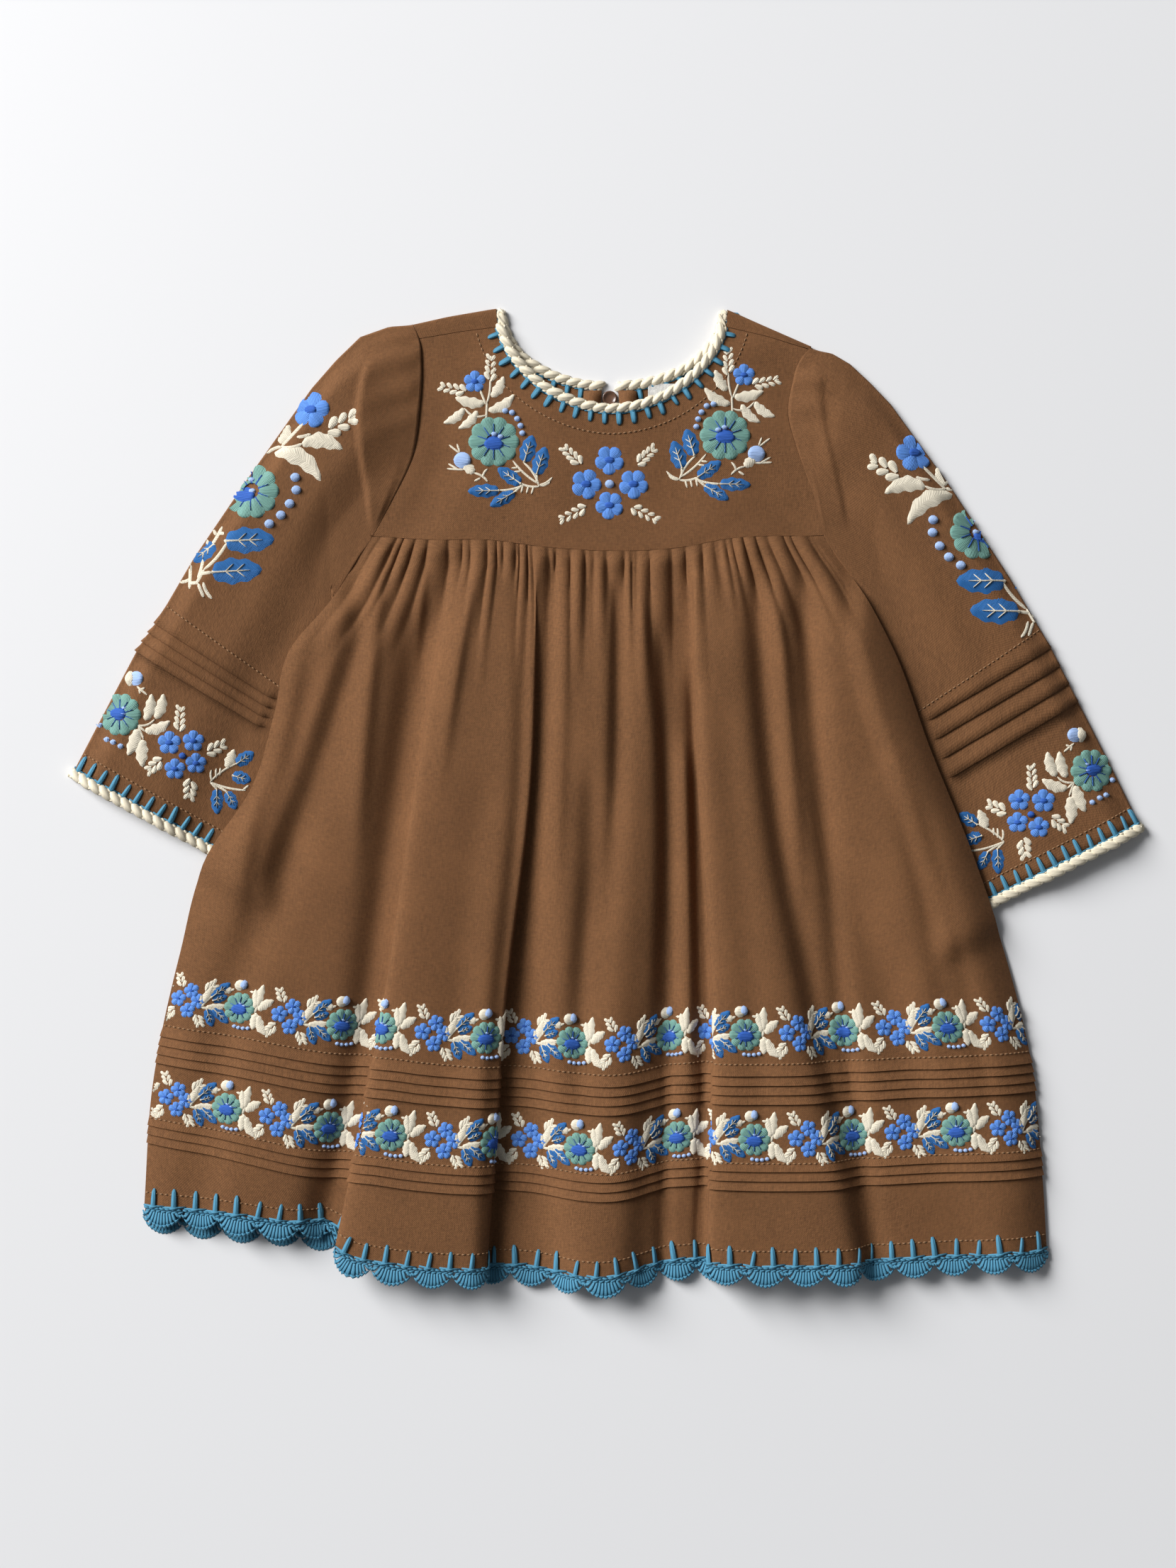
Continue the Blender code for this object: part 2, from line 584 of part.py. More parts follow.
def make_back_yoke(side, material):
    """Make one half of the back yoke, which wraps forward over its shoulder to the front seam."""
    hole = ARMHOLE_LEFT if side < 0 else ARMHOLE_RIGHT
    seam = SHOULDER_SEAM_LEFT if side < 0 else SHOULDER_SEAM_RIGHT
    fold = SHOULDER_FOLD_LEFT if side < 0 else SHOULDER_FOLD_RIGHT
    shoulder = SHOULDER_STEPS
    steps = NECK_STEPS
    front = along(seam, np.linspace(0, 1, shoulder + 1)) + np.array([0, SEAM / 2])
    crest = along(fold, np.linspace(0, 1, shoulder + 1))
    key_reach = side * (keyhole_edge(KEYHOLE["y"][0], side) - NECK_CENTRE[0]) / NECK_BACK["across"]
    key_turn = 0.5 + side * math.asin(key_reach ** (NECK_BACK["power"] / 2)) / math.pi
    high_turn = NECK_START if side < 0 else 1 - NECK_START
    turns = np.linspace(min(high_turn, key_turn), max(high_turn, key_turn), steps)
    neck = neck_point(NECK_BACK, turns)
    depth = crest[:, 1] - front[:, 1]
    radius = np.minimum(SHOULDER_RADIUS, 0.5 * depth)
    back = crest - np.stack([np.zeros_like(radius), radius], axis=-1)
    tip = 0 if side < 0 else -1
    for line in (front, crest, back):
        line[tip, 0] = edge_x(hole, line[tip, 1])
    top = np.concatenate([back, neck]) if side < 0 else np.concatenate([neck, back])
    heights = np.concatenate([[top[0][1] if side < 0 else top[-1][1]], armhole_rows(seam, hole)])
    heights = np.unique(heights)[::-1]
    arm = armhole_line(hole, heights)
    inner_top = neck[-1] if side < 0 else neck[0]
    rows = (heights[0] - heights) / (heights[0] - heights[-1])
    floor = seam_y(KEYHOLE_X) + SEAM / 2
    key_y = inner_top[1] + (floor - inner_top[1]) * rows
    key = np.stack([keyhole_edge(key_y, side), key_y], axis=-1)
    key[0] = inner_top
    ends = (arm[-1][0], key[-1][0]) if side < 0 else (key[-1][0], arm[-1][0])
    bottom = seam_line(ends[0], ends[1], len(top))
    left, right = (arm, key) if side < 0 else (key, arm)
    left[0], right[0] = top[0], top[-1]
    left[-1], right[-1] = bottom[0], bottom[-1]
    flat = coons(top, bottom, left, right, rows)
    level = np.full(flat.shape[:2] + (1,), FLOOR_LEVEL)
    body = np.concatenate([flat, level], axis=-1)

    strip = np.zeros((3, len(top), 3))
    strip[:] = body[0]
    columns = slice(0, shoulder + 1) if side < 0 else slice(len(top) - shoulder - 1, len(top))
    upper = np.full(shoulder + 1, FRONT_LEVEL)
    strip[0, columns] = np.column_stack([front, upper])
    strip[1, columns] = np.column_stack([back, upper])
    strip[2, columns] = np.column_stack([crest, (upper + FLOOR_LEVEL) / 2])
    points = np.concatenate([strip, body])
    if side < 0:
        hidden = lambda r, c: r < 3 and c >= shoulder
    else:
        hidden = lambda r, c: r < 3 and c < steps
    name = "back_yoke_left" if side < 0 else "back_yoke_right"
    wall_object(name, points, material, hidden=hidden)
    edge = shoulder if side < 0 else steps
    wrap = points[0:4, edge]
    if side < 0:
        return np.concatenate([wrap, points[3, edge + 1:]])
    return np.concatenate([points[3, :edge], wrap[::-1]])


def make_neck_trim(name, edge, centre_ends, material):
    """Make a length of crochet braid that stands in the neck opening along a cloth edge."""
    run = np.gradient(edge[:, :2], axis=0)
    run = run / np.maximum(np.linalg.norm(run, axis=1, keepdims=True), 1e-9)
    inward = np.stack([-run[:, 1], run[:, 0]], axis=-1)
    for place, direction in centre_ends.items():
        inward[place] = direction
    rows = []
    for reach in (BRAID_WIDTH, SEAM):
        row = edge.copy()
        row[:, :2] += inward * reach
        rows.append(row)
    wall_object(name, np.array(rows), material)


def sleeve_rows():
    """List the rows of a sleeve's table, in between too at its tucks, with each tuck's height."""
    last = len(SLEEVE_LEFT) - 1
    rows = [(float(k), 0.0) for k in range(SLEEVE_FIRST_TUCK)]
    for k in range(SLEEVE_TUCKS):
        crest = SLEEVE_FIRST_TUCK + k / (SLEEVE_TUCKS - 1)
        rows.append((crest, SLEEVE_TUCK_HEIGHT))
        rows.append((crest + 0.07, 0.0))
    return rows + [(float(k), 0.0) for k in range(SLEEVE_FIRST_TUCK + 2, last + 1)]


def make_sleeve(name, table, hole, seam, material):
    """Make a sleeve as one flattened tube, its upper layer puffed and its inner strip flat."""
    side = -1 if table is SLEEVE_LEFT else 1
    table = np.array(table)
    heights = armhole_rows(seam, hole)[:-1]
    outer_y, inner_y = table[0, 1], table[0, 3]
    stops = np.clip((outer_y - heights) / (outer_y - inner_y), 0.03, 0.97)
    ring = np.concatenate([[0.0], stops, [1.0], stops[::-1]])
    upper = np.concatenate([[0.5], np.ones(len(stops)), [0.5], np.zeros(len(stops))])
    points = []
    relief = []
    for place, tuck in sleeve_rows():
        values = [np.interp(place, np.arange(len(table)), column) for column in table.T]
        section = dict(zip(SLEEVE_COLUMNS, values))
        outer = np.array([section["outer_x"], section["outer_y"]])
        inner = np.array([section["inner_x"], section["inner_y"]])
        flat = outer + (inner - outer) * ring[:, None]
        flat[:, 0] -= side * section["bow"] * 4 * ring * (1 - ring)
        if place == 0:
            flat[:, 0] = edge_x(hole, flat[:, 1]) + side * (ARMHOLE_GAP + UNDERARM_GAP * (ring == 1))
        puff = section["puff"] * ease(ring / PUFF_START) * ease((SLEEVE_HIDDEN - ring) / PUFF_END)
        z = FLOOR_LEVEL + (SLEEVE_GAP + puff * (upper == 1)) * upper
        points.append(np.column_stack([flat, z]))
        relief.append(tuck * (upper == 1) * (ring < SLEEVE_HIDDEN))
    points = np.array(points)
    relief = np.array(relief)
    if side > 0:
        points = points[:, ::-1]
        relief = relief[:, ::-1]
    wall_object(name, points, material, relief=relief, ring=True)
    return points[-1]


def make_cuff_trim(name, cuff, table, material):
    """Make the crochet braid that follows the open end of a sleeve all round."""
    run = np.array(table[-1][2:4]) - np.array(table[-1][0:2])
    run = run / np.linalg.norm(run)
    away = np.array([run[1], -run[0]])
    away = -away if away[1] > 0 else away
    rows = []
    for reach in (SEAM, CUFF_BRAID / 2, CUFF_BRAID):
        row = cuff.copy()
        row[:, :2] += away * reach
        rows.append(row)
    wall_object(name, np.array(rows), material, ring=True)


def make_flat_piece(name, left, right, rows, level, wall, material):
    """Make a flat strip of cloth between two edges, given as an x at each row."""
    across = np.linspace(0, 1, 3)
    points = []
    for y, start, end in zip(rows, left, right):
        x = start + (end - start) * across
        points.append(np.column_stack([x, np.full(3, y), np.full(3, level)]))
    wall_object(name, np.array(points), material, wall=wall)


def make_button(material):
    """Make the small round button that closes the top of the back opening."""
    mesh = bmesh.new()
    bmesh.ops.create_cone(mesh, cap_ends=True, segments=24, radius1=BUTTON_RADIUS * MM,
                          radius2=BUTTON_RADIUS * MM, depth=BUTTON_THICK * MM)
    rim = [e for e in mesh.edges if all(v.co.z > 0 for v in e.verts)]
    bmesh.ops.bevel(mesh, geom=rim, offset=0.4 * MM, segments=2, affect="EDGES")
    made = finish_mesh("button", mesh, material)
    made.location = [place * MM for place in BUTTON_PLACE]


def main():
    for old in list(bpy.data.objects):
        bpy.data.objects.remove(old)
    dress = bpy.data.collections.new(COLLECTION)
    bpy.context.scene.collection.children.link(dress)
    cloth = make_material("brown_linen", BROWN, 0.9)
    cream = make_material("cream_crochet", CREAM, 0.85)
    blue = make_material("blue_crochet", BLUE, 0.85)
    pale = make_material("pale_label", PALE, 0.6)
    shell = make_material("brown_button", DARK, 0.3)

    make_edging("hem_trim_front", make_front_skirt(cloth), blue, 2)
    make_edging("hem_trim_back", make_back_skirt(cloth), blue, 3)

    rightward, leftward = (1, 0), (-1, 0)
    wrap_rows = range(4)
    make_neck_trim("neck_trim_front", make_front_yoke(cloth), {0: rightward, -1: leftward}, cream)
    make_neck_trim("neck_trim_back_left", make_back_yoke(-1, cloth),
                   {row: rightward for row in wrap_rows}, cream)
    make_neck_trim("neck_trim_back_right", make_back_yoke(1, cloth),
                   {-1 - row: leftward for row in wrap_rows}, cream)

    for name, table, hole, seam in (("left", SLEEVE_LEFT, ARMHOLE_LEFT, SHOULDER_SEAM_LEFT),
                                    ("right", SLEEVE_RIGHT, ARMHOLE_RIGHT, SHOULDER_SEAM_RIGHT)):
        cuff = make_sleeve("sleeve_" + name, table, hole, seam, cloth)
        make_cuff_trim("cuff_trim_" + name, cuff, table, cream)

    inside = FLOOR_LEVEL + LAYER
    rows = np.linspace(*FACING_SPAN, FACING_ROWS)
    outer_left = np.full(FACING_ROWS, FACING_LEFT)
    outer_right = np.full(FACING_ROWS, FACING_RIGHT)
    make_flat_piece("keyhole_facing_left", outer_left, keyhole_edge(rows, -1), rows, inside, WALL, cloth)
    make_flat_piece("keyhole_facing_right", keyhole_edge(rows, 1), outer_right, rows, inside, WALL, cloth)
    label = np.linspace(*LABEL_SPAN, 3)
    make_flat_piece("neck_label", np.full(3, LABEL_SIDES[0]), np.full(3, LABEL_SIDES[1]), label, inside,
                    LABEL_THICK, pale)
    make_button(shell)


if __name__ == "__main__":
    main()
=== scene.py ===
"""Looks of the laid long sleeve dress: cloth, crochet, embroidery, stitches, button, light and camera.

Shape functions work in millimetres, and meshes are made in metres. Rows of a panel run from its top
seam down and columns from left to right, as the dress lies with its front up.
"""
import math

import bpy
import numpy as np
from bpy.props import FloatProperty, FloatVectorProperty, PointerProperty
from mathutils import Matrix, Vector
from mathutils.bvhtree import BVHTree


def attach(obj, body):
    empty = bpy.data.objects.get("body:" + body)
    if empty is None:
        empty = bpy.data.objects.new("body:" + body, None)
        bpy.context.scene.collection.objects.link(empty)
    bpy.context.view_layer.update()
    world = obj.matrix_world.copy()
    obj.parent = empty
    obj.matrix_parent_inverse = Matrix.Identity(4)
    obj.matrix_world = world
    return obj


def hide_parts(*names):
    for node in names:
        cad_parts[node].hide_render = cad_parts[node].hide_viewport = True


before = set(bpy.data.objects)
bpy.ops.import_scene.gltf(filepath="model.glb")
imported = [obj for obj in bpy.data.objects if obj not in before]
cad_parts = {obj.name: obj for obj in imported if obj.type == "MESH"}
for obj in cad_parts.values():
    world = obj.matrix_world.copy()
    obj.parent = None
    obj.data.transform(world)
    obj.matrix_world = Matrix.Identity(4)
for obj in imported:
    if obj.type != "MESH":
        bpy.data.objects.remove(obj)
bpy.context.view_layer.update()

bl_info = {
    "name": "Laid Long Sleeve Dress",
    "version": (1, 0, 0),
    "blender": (4, 5, 0),
    "location": "View3D > Sidebar > Dress",
    "description": "Builds the cloth, crochet, embroidery and light of a laid dress",
    "category": "Object",
}

MM = 0.001
LAYER = 1.5
FLOOR_LEVEL = 0.6
FRONT_LEVEL = 3.0
YOKE_BULGE = 1.9
YOKE_BULGE_START = 10.0
YOKE_BULGE_RAMP = 32.0
SHOULDER_RAMP = (268.0, 22.0)
SLEEVE_LIFT = 4.4
SLEEVE_CLEAR = 1.12
SKIRT_FINENESS = 7
BACK_FINENESS = 150
SHOULDER_FINENESS = 10
NECK_FINENESS = 30
SHOULDER_BEND = 6
SLEEVE_FINENESS = 60
YOKE_WAVE = 1.6
SEAM = 0.3
TUCK_DROP = 0.0015
TUCK_PITCH = 0.0130
UPPER_TUCKS, UPPER_COUNT = 0.735, 4
LOWER_TUCKS, LOWER_COUNT = 0.866, 3
EDGING_DEPTH = 11.0
EDGING_NOTCH = 5.5
EDGING_PITCH = 22.0
BRAID_WIDTH = 6.4
BRAID_PITCH = 6.8
CUFF_BRAID = 7.0
BUTTON_PLACE = (2.0, 227.0)
FACING_LEFT, FACING_RIGHT = -12.5, 16.8
FACING_SPAN = (231.0, 150.0)
LABEL_SIDES = (23.6, 42.0)
LABEL_SPAN = (235.0, 222.0)
CAMERA_AIM = (-0.0102, 0.0096)
FRAME_HEIGHT = 0.8848
PAD_BASE, PAD_GROWTH, PAD_SINK = 0.3, 0.07, 0.15
BAND_REPEAT = 59.0
BANDS = ((0.678, 105.6, -177.6), (0.822, 112.4, -185.2))
EMBROIDERY_UP = {"front": 1, "back": -1, "yoke": 1, "sleeve_left": 1, "sleeve_right": 1}
GATHER_HEIGHT = 3.8
TUCK_RISE = 1.3
TUCK_SLIDE = 1.4
BACK_TUCK_SHARE = 0.25
NECK_STITCH = 12.0
NECK_BLANKET = (7.7, 7.0, 3.2)
CUFF_BLANKET = (7.6, 9.4, 3.0)
HEM_BLANKET = (12.0, 10.4, 3.0)
CUFF_RUN_SHARE = 0.97
SLEEVE_STITCH_LEVELS = (6.75, 9.72)
STRIP_COLUMNS = 15
FACING_ROWS = 50
FACING_WALL = 0.9
LABEL_ROWS = 12
LABEL_WALL = 0.7
STITCH_LEVELS = {"front_skirt": (0.722, 0.858, 0.978), "back_skirt": (0.722, 0.978)}
UNDER_SKIRT = 1.6
FACING_CURL = 2.6
SLEEVE_FOLDS = {-1: {"y": (252, 243.6, 228.8, 210.5, 192, 173.8, 150), "rise": 3.2,
                     "x": (-131.0, -134.8, -138.4, -139.4, -137.6, -134.8, -132.0)},
                1: {"y": (250, 236, 216, 196, 176, 150), "rise": 1.6,
                    "x": (122.0, 121.0, 122.0, 126.0, 131.0, 136.0)}}

# Softer folds between the big ones: x at the four levels of FOLD_LEVELS, rise, width, and from and to
# where down the skirt
DRAPES = ((-74, -92, -104, -120, 2.2, 5, 0.03, 0.38), (-20, -26, -30, -34, 1.6, 6, 0.05, 0.55),
          (2, 0, -6, -10, 2.4, 4.5, 0.02, 0.5), (17, 28, 24, 18, 1.8, 5, 0.03, 0.8),
          (40, 44, 46, 44, 3.4, 5, 0.25, 0.85), (94, 104, 112, 120, 2.6, 5, 0.04, 0.6),
          (108, 120, 132, 150, -3.8, 6, 0.03, 1.3), (-98, -119, -137, -165, -3.2, 9, 0.05, 1.3),
          (46, 50, 55, 53, -3.4, 3.5, 0.15, 1.3), (29, 33, 34, 32, -3.0, 4.5, 0.08, 1.3),
          (-46, -48, -60, -66, -2.5, 5, 0.02, 1.3), (82, 92, 116, 146, -2.6, 6, 0.02, 1.3),
          (-126, -137, -144, -150, 2.8, 6, 0.02, 0.5),
          (-150, -178, -200, -215, -2.6, 8, 0.1, 0.5), (140, 156, 180, 200, 1.8, 10, 0.3, 0.85),
          (-60, -70, -82, -96, -1.6, 11, 0.3, 0.9), (-102, -114, -124, -140, 2.4, 4, 0.02, 0.25),
          (-2, -8, -14, -16, -2.2, 6, 0.28, 0.85), (60, 70, 82, 96, -1.4, 9, 0.2, 0.9),
          (-184, -196, -214, -236, 2.0, 7, 0.3, 0.62), (150, 172, 204, 226, -1.4, 6, 0.35, 0.9))

# Side edges of the skirt, as x at each y
SKIRT_LEFT_EDGE = {"y": (148.8, 147, 112, 86, 50, 8, -30, -85, -160, -230),
                   "x": (-131.6, -133, -155, -177, -186, -199, -224, -240, -255.5, -260)}
SKIRT_RIGHT_EDGE = {"y": (149, 147, 124, 85, 31, -31, -88, -140, -211, -252),
                    "x": (122.4, 123.4, 139.6, 161, 181, 206, 225, 238, 245.6, 248)}
LEFT_SPAN = (148.8, 378.8)
RIGHT_SPAN = (149.0, 401.0)
FOLD_SPAN = (146.0, 402.0)

# Seam between the yoke and the gathered skirt, as y at each x
YOKE_SEAM = {"x": (-131, -92, -72, -31, 2, 40, 69, 122),
             "y": (149, 146.6, 147.0, 142.4, 140.6, 142.2, 147.4, 149.4)}

# Lower edge of the cloth, as y at each x: where the tucks point to, and the pull up past it
FRONT_HEM = {"x": (-260, -216, -166, -141, -118, -92, -51, 0, 38, 91, 127, 174, 248),
             "y": (-232, -241, -253, -254.5, -258, -260.3, -261.4, -265.6, -258.6, -258.8,
                   -258.6, -256, -252.6)}
HEM_PULL = {"x": (-260, -216, -166, -159, -139, 248), "rise": (4, 10, 17, 18, 0, 0)}
BACK_HEM = {"x": (-260, -205, -155, -60, 100, 248), "y": (-232, -238, -243, -251, -251, -249)}

# Folds of the front skirt: x at four levels of y, rise to the right, width and lean of the edge
FOLD_LEVELS = (132.0, 12.0, -116.0, -256.0)
FOLD_COLUMNS = ("x_top", "x_mid", "x_low", "x_hem", "rise_top", "rise_hem", "soft", "lean_top",
                "lean_hem")
FOLDS = (
    (-140, -174, -222, -246, -3, -2, 9, 0, 0),
    (-130, -154, -202, -222, 4, 4, 10, 0, 0),
    (-102, -118, -134, -166, -6, -7, 12, 0, 0),
    (-86, -106, -124, -150, 9, 13, 6, 1, 6),
    (-39, -42.4, -57.2, -67.2, -9, -12, 4, 2, 3),
    (-34, -37.2, -34.8, -24, 8, 10, 11, 0, 0),
    (1.2, -2, -22, -30, -6, 0, 6, 0, 0),
    (8.8, 10, -2, -10, 6, 0, 6, 0, 0),
    (25.2, 27.2, 20, 16, -6, -9, 9, 0, 0),
    (48.8, 52, 61.2, 58.8, 9, 12, 4, 2, 5),
    (79.2, 88, 112, 146.4, -6, -8, 8, 0, 0),
    (90.8, 102, 130, 170, 5, 0, 8, 0, 0),
    (104, 110, 150, 190, -5, 0, 8, 0, 0),
    (116.4, 124, 170, 215, 5, 2, 9, 0, 0),
)
LEFT_FOLD, INNER_FOLD, RIGHT_FOLD = 3, 4, 9
SKIRT_STATIONS = (0.0, 0.2, 0.37, 0.69, 1.0)
SKIRT_SEGMENTS = (9, 9, 12, 12)
SIDE_ROLL = 30.0
ROLL_HEIGHT = 6.0
FOLD_DEPTH = 1.3
LEAST_LOFT = 0.8
TOP_LOFT = 0.35
LOFT_GROWTH = 0.18
LEAN_PEAK = math.sqrt(0.5) * math.exp(-0.5)
HEM_RAMP = 0.89
CROWDING = 0.8

UPPER_TUCKS, UPPER_COUNT = 0.735, 4
LOWER_TUCKS, LOWER_COUNT = 0.866, 3

# Armholes, as x at each y
ARMHOLE_LEFT = {"y": (268.6, 258, 247, 220, 192, 171, 149),
                "x": (-108.6, -104.6, -103.6, -104.8, -109.2, -119.2, -131.2)}
ARMHOLE_RIGHT = {"y": (256.4, 247, 234, 217, 204, 187, 170, 149.4),
                 "x": (115.4, 108.4, 104.4, 102.3, 105.4, 111.2, 117.4, 122.2)}

# Neck edges of the cloth, as parts of rounded curves
NECK_CENTRE = (3.2, 275.0)
NECK_FRONT = {"across": 65.5, "down": 56.5, "power": 1.87}
NECK_BACK = {"across": 64.0, "down": 43.5, "power": 2.05}
SHOULDER_SEAM_LEFT = ((-105.2, 260.2), (-83.0, 264.0), (-61.4, 266.8))
SHOULDER_SEAM_RIGHT = ((67.8, 266.8), (91.0, 261.4), (113.6, 254.4))
SHOULDER_FOLD_LEFT = ((-108.4, 268.2), (-88.8, 272.6), (-62.0, 277.2))
SHOULDER_FOLD_RIGHT = ((68.4, 276.6), (84.0, 269.6), (115.0, 256.0))
NECK_START = 0.03
SHOULDER_RADIUS = 1.2
YOKE_ROWS = tuple(np.linspace(0, 1, 64))
KEYHOLE_X = 2.2
KEYHOLE = {"y": (232.0, 227.0, 219.0, 200.0, 157.0, 140.0),
           "half": (4.6, 5.3, 5.6, 3.0, 0.15, 0.15)}

# Sleeves, from the armhole to the cuff: outer edge, inner edge, bow of the row and puff
SLEEVE_COLUMNS = ("outer_x", "outer_y", "inner_x", "inner_y", "bow", "puff")
SLEEVE_LEFT = (
    (-108.9, 268.4, -132.2, 150.0, 0.0, 1.0),
    (-122.0, 267.0, -135.6, 144.5, 9.0, 3.0),
    (-138.4, 261.2, -140.4, 138.0, 6.0, 4.5),
    (-152.0, 248.0, -147.6, 126.0, 4.0, 5.0),
    (-165.6, 232.4, -154.8, 114.0, 2.0, 5.0),
    (-200.0, 184.0, -150.5, 91.0, 0.0, 5.0),
    (-232.0, 136.8, -160.0, 66.0, 0.0, 5.0),
    (-252.9, 101.0, -167.0, 46.0, 0.0, 4.5),
    (-263.6, 85.6, -172.5, 30.0, 0.0, 4.5),
    (-282.0, 50.6, -184.4, -5.2, 0.0, 4.5),
    (-299.2, 17.6, -196.0, -39.6, 0.0, 4.5),
)
SLEEVE_RIGHT = (
    (115.7, 256.2, 123.4, 150.4, 0.0, 1.0),
    (127.0, 252.0, 127.6, 143.4, 9.0, 3.0),
    (137.2, 246.0, 132.4, 136.0, 6.0, 4.5),
    (148.4, 235.6, 141.4, 124.0, 4.0, 5.0),
    (160.0, 223.5, 148.6, 112.0, 2.0, 5.0),
    (192.8, 178.4, 146.0, 88.5, 0.0, 5.0),
    (227.2, 125.6, 153.5, 55.0, 0.0, 5.0),
    (250.0, 87.0, 161.0, 34.0, 0.0, 4.5),
    (265.2, 56.8, 172.0, 1.0, 0.0, 4.5),
    (283.6, 20.6, 183.6, -33.4, 0.0, 4.5),
    (300.0, -12.8, 194.8, -66.0, 0.0, 4.5),
)
SLEEVE_FIRST_TUCK = 7
SLEEVE_TUCKS = 4
SLEEVE_GAP = 2.4
SLEEVE_HIDDEN = 0.72
ARMHOLE_GAP = 0.1
UNDERARM_GAP = 0.15
PUFF_START = 0.14
PUFF_END = 0.3
LIFT_START, LIFT_FULL = 140.0, 113.0
LIFT_RAMP = 14.0



def smooth_curve(stations, values, at):
    """Read a smooth curve through the values at rising stations, held level past both ends."""
    stations = np.asarray(stations, float)
    values = np.asarray(values, float)
    at = np.clip(at, stations[0], stations[-1])
    slopes = np.gradient(values, stations)
    left = np.clip(np.searchsorted(stations, at) - 1, 0, len(stations) - 2)
    span = stations[left + 1] - stations[left]
    t = (at - stations[left]) / span
    rise = values[left + 1] - values[left]
    start = slopes[left] * span
    end = slopes[left + 1] * span
    return values[left] + start * t + (3 * rise - 2 * start - end) * t**2 + (start + end - 2 * rise) * t**3


def edge_x(edge, y):
    """Give the x of a side edge or an armhole at the height y."""
    return smooth_curve(-np.asarray(edge["y"], float), edge["x"], -np.asarray(y, float))


def ease(t):
    """Rise smoothly from 0 at t = 0 to 1 at t = 1."""
    t = np.clip(t, 0.0, 1.0)
    return t * t * (3 - 2 * t)


def seam_y(x):
    """Give the y of the gathered seam under the yoke."""
    return smooth_curve(YOKE_SEAM["x"], YOKE_SEAM["y"], x)


def neck_point(neck, turn):
    """Give a point of a neck edge, for turns from 0 at its left end to 1 at its right end."""
    angle = np.pi * (1 - np.asarray(turn, float))
    across = np.sign(np.cos(angle)) * np.abs(np.cos(angle)) ** (2 / neck["power"])
    down = np.abs(np.sin(angle)) ** (2 / neck["power"])
    x = NECK_CENTRE[0] + neck["across"] * across
    y = NECK_CENTRE[1] - neck["down"] * down
    return np.stack([x, y], axis=-1)


def along(points, t):
    """Walk along a polyline by length, from 0 to 1."""
    points = np.asarray(points, float)
    steps = np.linalg.norm(np.diff(points, axis=0), axis=1)
    length = np.concatenate([[0.0], np.cumsum(steps)])
    at = np.asarray(t, float) * length[-1]
    return np.stack([np.interp(at, length, points[:, k]) for k in range(points.shape[1])], axis=-1)


def sleeve_inner_x(sleeve, y):
    """Give the x of a sleeve's inner edge, which lies under the skirt, at the height y."""
    rows = np.array(sleeve)[4:]
    return np.interp(-y, -rows[:, 3], rows[:, 2])


def past_cuff(sleeve, x, y):
    """Give the distance of a point beyond the line of a sleeve's cuff."""
    outer = np.array(sleeve[-1][0:2])
    inner = np.array(sleeve[-1][2:4])
    run = (inner - outer) / np.linalg.norm(inner - outer)
    side = np.array([run[1], -run[0]])
    if side[1] > 0:
        side = -side
    return (x - outer[0]) * side[0] + (y - outer[1]) * side[1]


def back_level(x, y):
    """Give the height of the back skirt's middle surface, which rises over the sleeves' strips."""
    x = np.asarray(x, float)
    y = np.asarray(y, float)
    lift = np.zeros(np.broadcast(x, y).shape)
    for sleeve, side in ((SLEEVE_LEFT, 1), (SLEEVE_RIGHT, -1)):
        inside = (x - sleeve_inner_x(sleeve, y)) * side
        beside = ease(1 - (inside - 1.5) / LIFT_RAMP)
        below = ease(1 - (past_cuff(sleeve, x, y) - CUFF_BRAID - 2) / LIFT_RAMP)
        lift = np.maximum(lift, beside * below)
    return FLOOR_LEVEL + SLEEVE_LIFT * lift * ease((LIFT_START - y) / (LIFT_START - LIFT_FULL))


def yoke_level(x, y):
    """Give the height of the front yoke's middle surface, a little bulged between its seams."""
    left = x - edge_x(ARMHOLE_LEFT, y)
    right = edge_x(ARMHOLE_RIGHT, y) - x
    across = ease((np.minimum(left, right) - YOKE_BULGE_START) / YOKE_BULGE_RAMP)
    down = ease((SHOULDER_RAMP[0] - y) / SHOULDER_RAMP[1])
    return FRONT_LEVEL + YOKE_BULGE * across * down


def fold_x(fold, y):
    """Give the x of a fold's line at the height y."""
    levels = -np.array(FOLD_LEVELS)
    return smooth_curve(levels, fold[0:4], -np.asarray(y, float))


def skirt_row(v):
    """Give the places of the skirt's two edges and of its three folded lines, down at v."""
    left = edge_x(SKIRT_LEFT_EDGE, LEFT_SPAN[0] - LEFT_SPAN[1] * v)
    right = edge_x(SKIRT_RIGHT_EDGE, RIGHT_SPAN[0] - RIGHT_SPAN[1] * v)
    y = FOLD_SPAN[0] - FOLD_SPAN[1] * v
    lines = [fold_x(FOLDS[k], y) for k in (LEFT_FOLD, INNER_FOLD, RIGHT_FOLD)]
    return np.array([left, *lines, right])


def skirt_x(a, v):
    """Give the x of the skirt's laid cloth before its folds lean, for a from 0 to 1 across."""
    return np.interp(a, SKIRT_STATIONS, skirt_row(v))


def hem_y(x):
    """Give the y of the front hem before the left side is pulled up."""
    return smooth_curve(FRONT_HEM["x"], FRONT_HEM["y"], x)


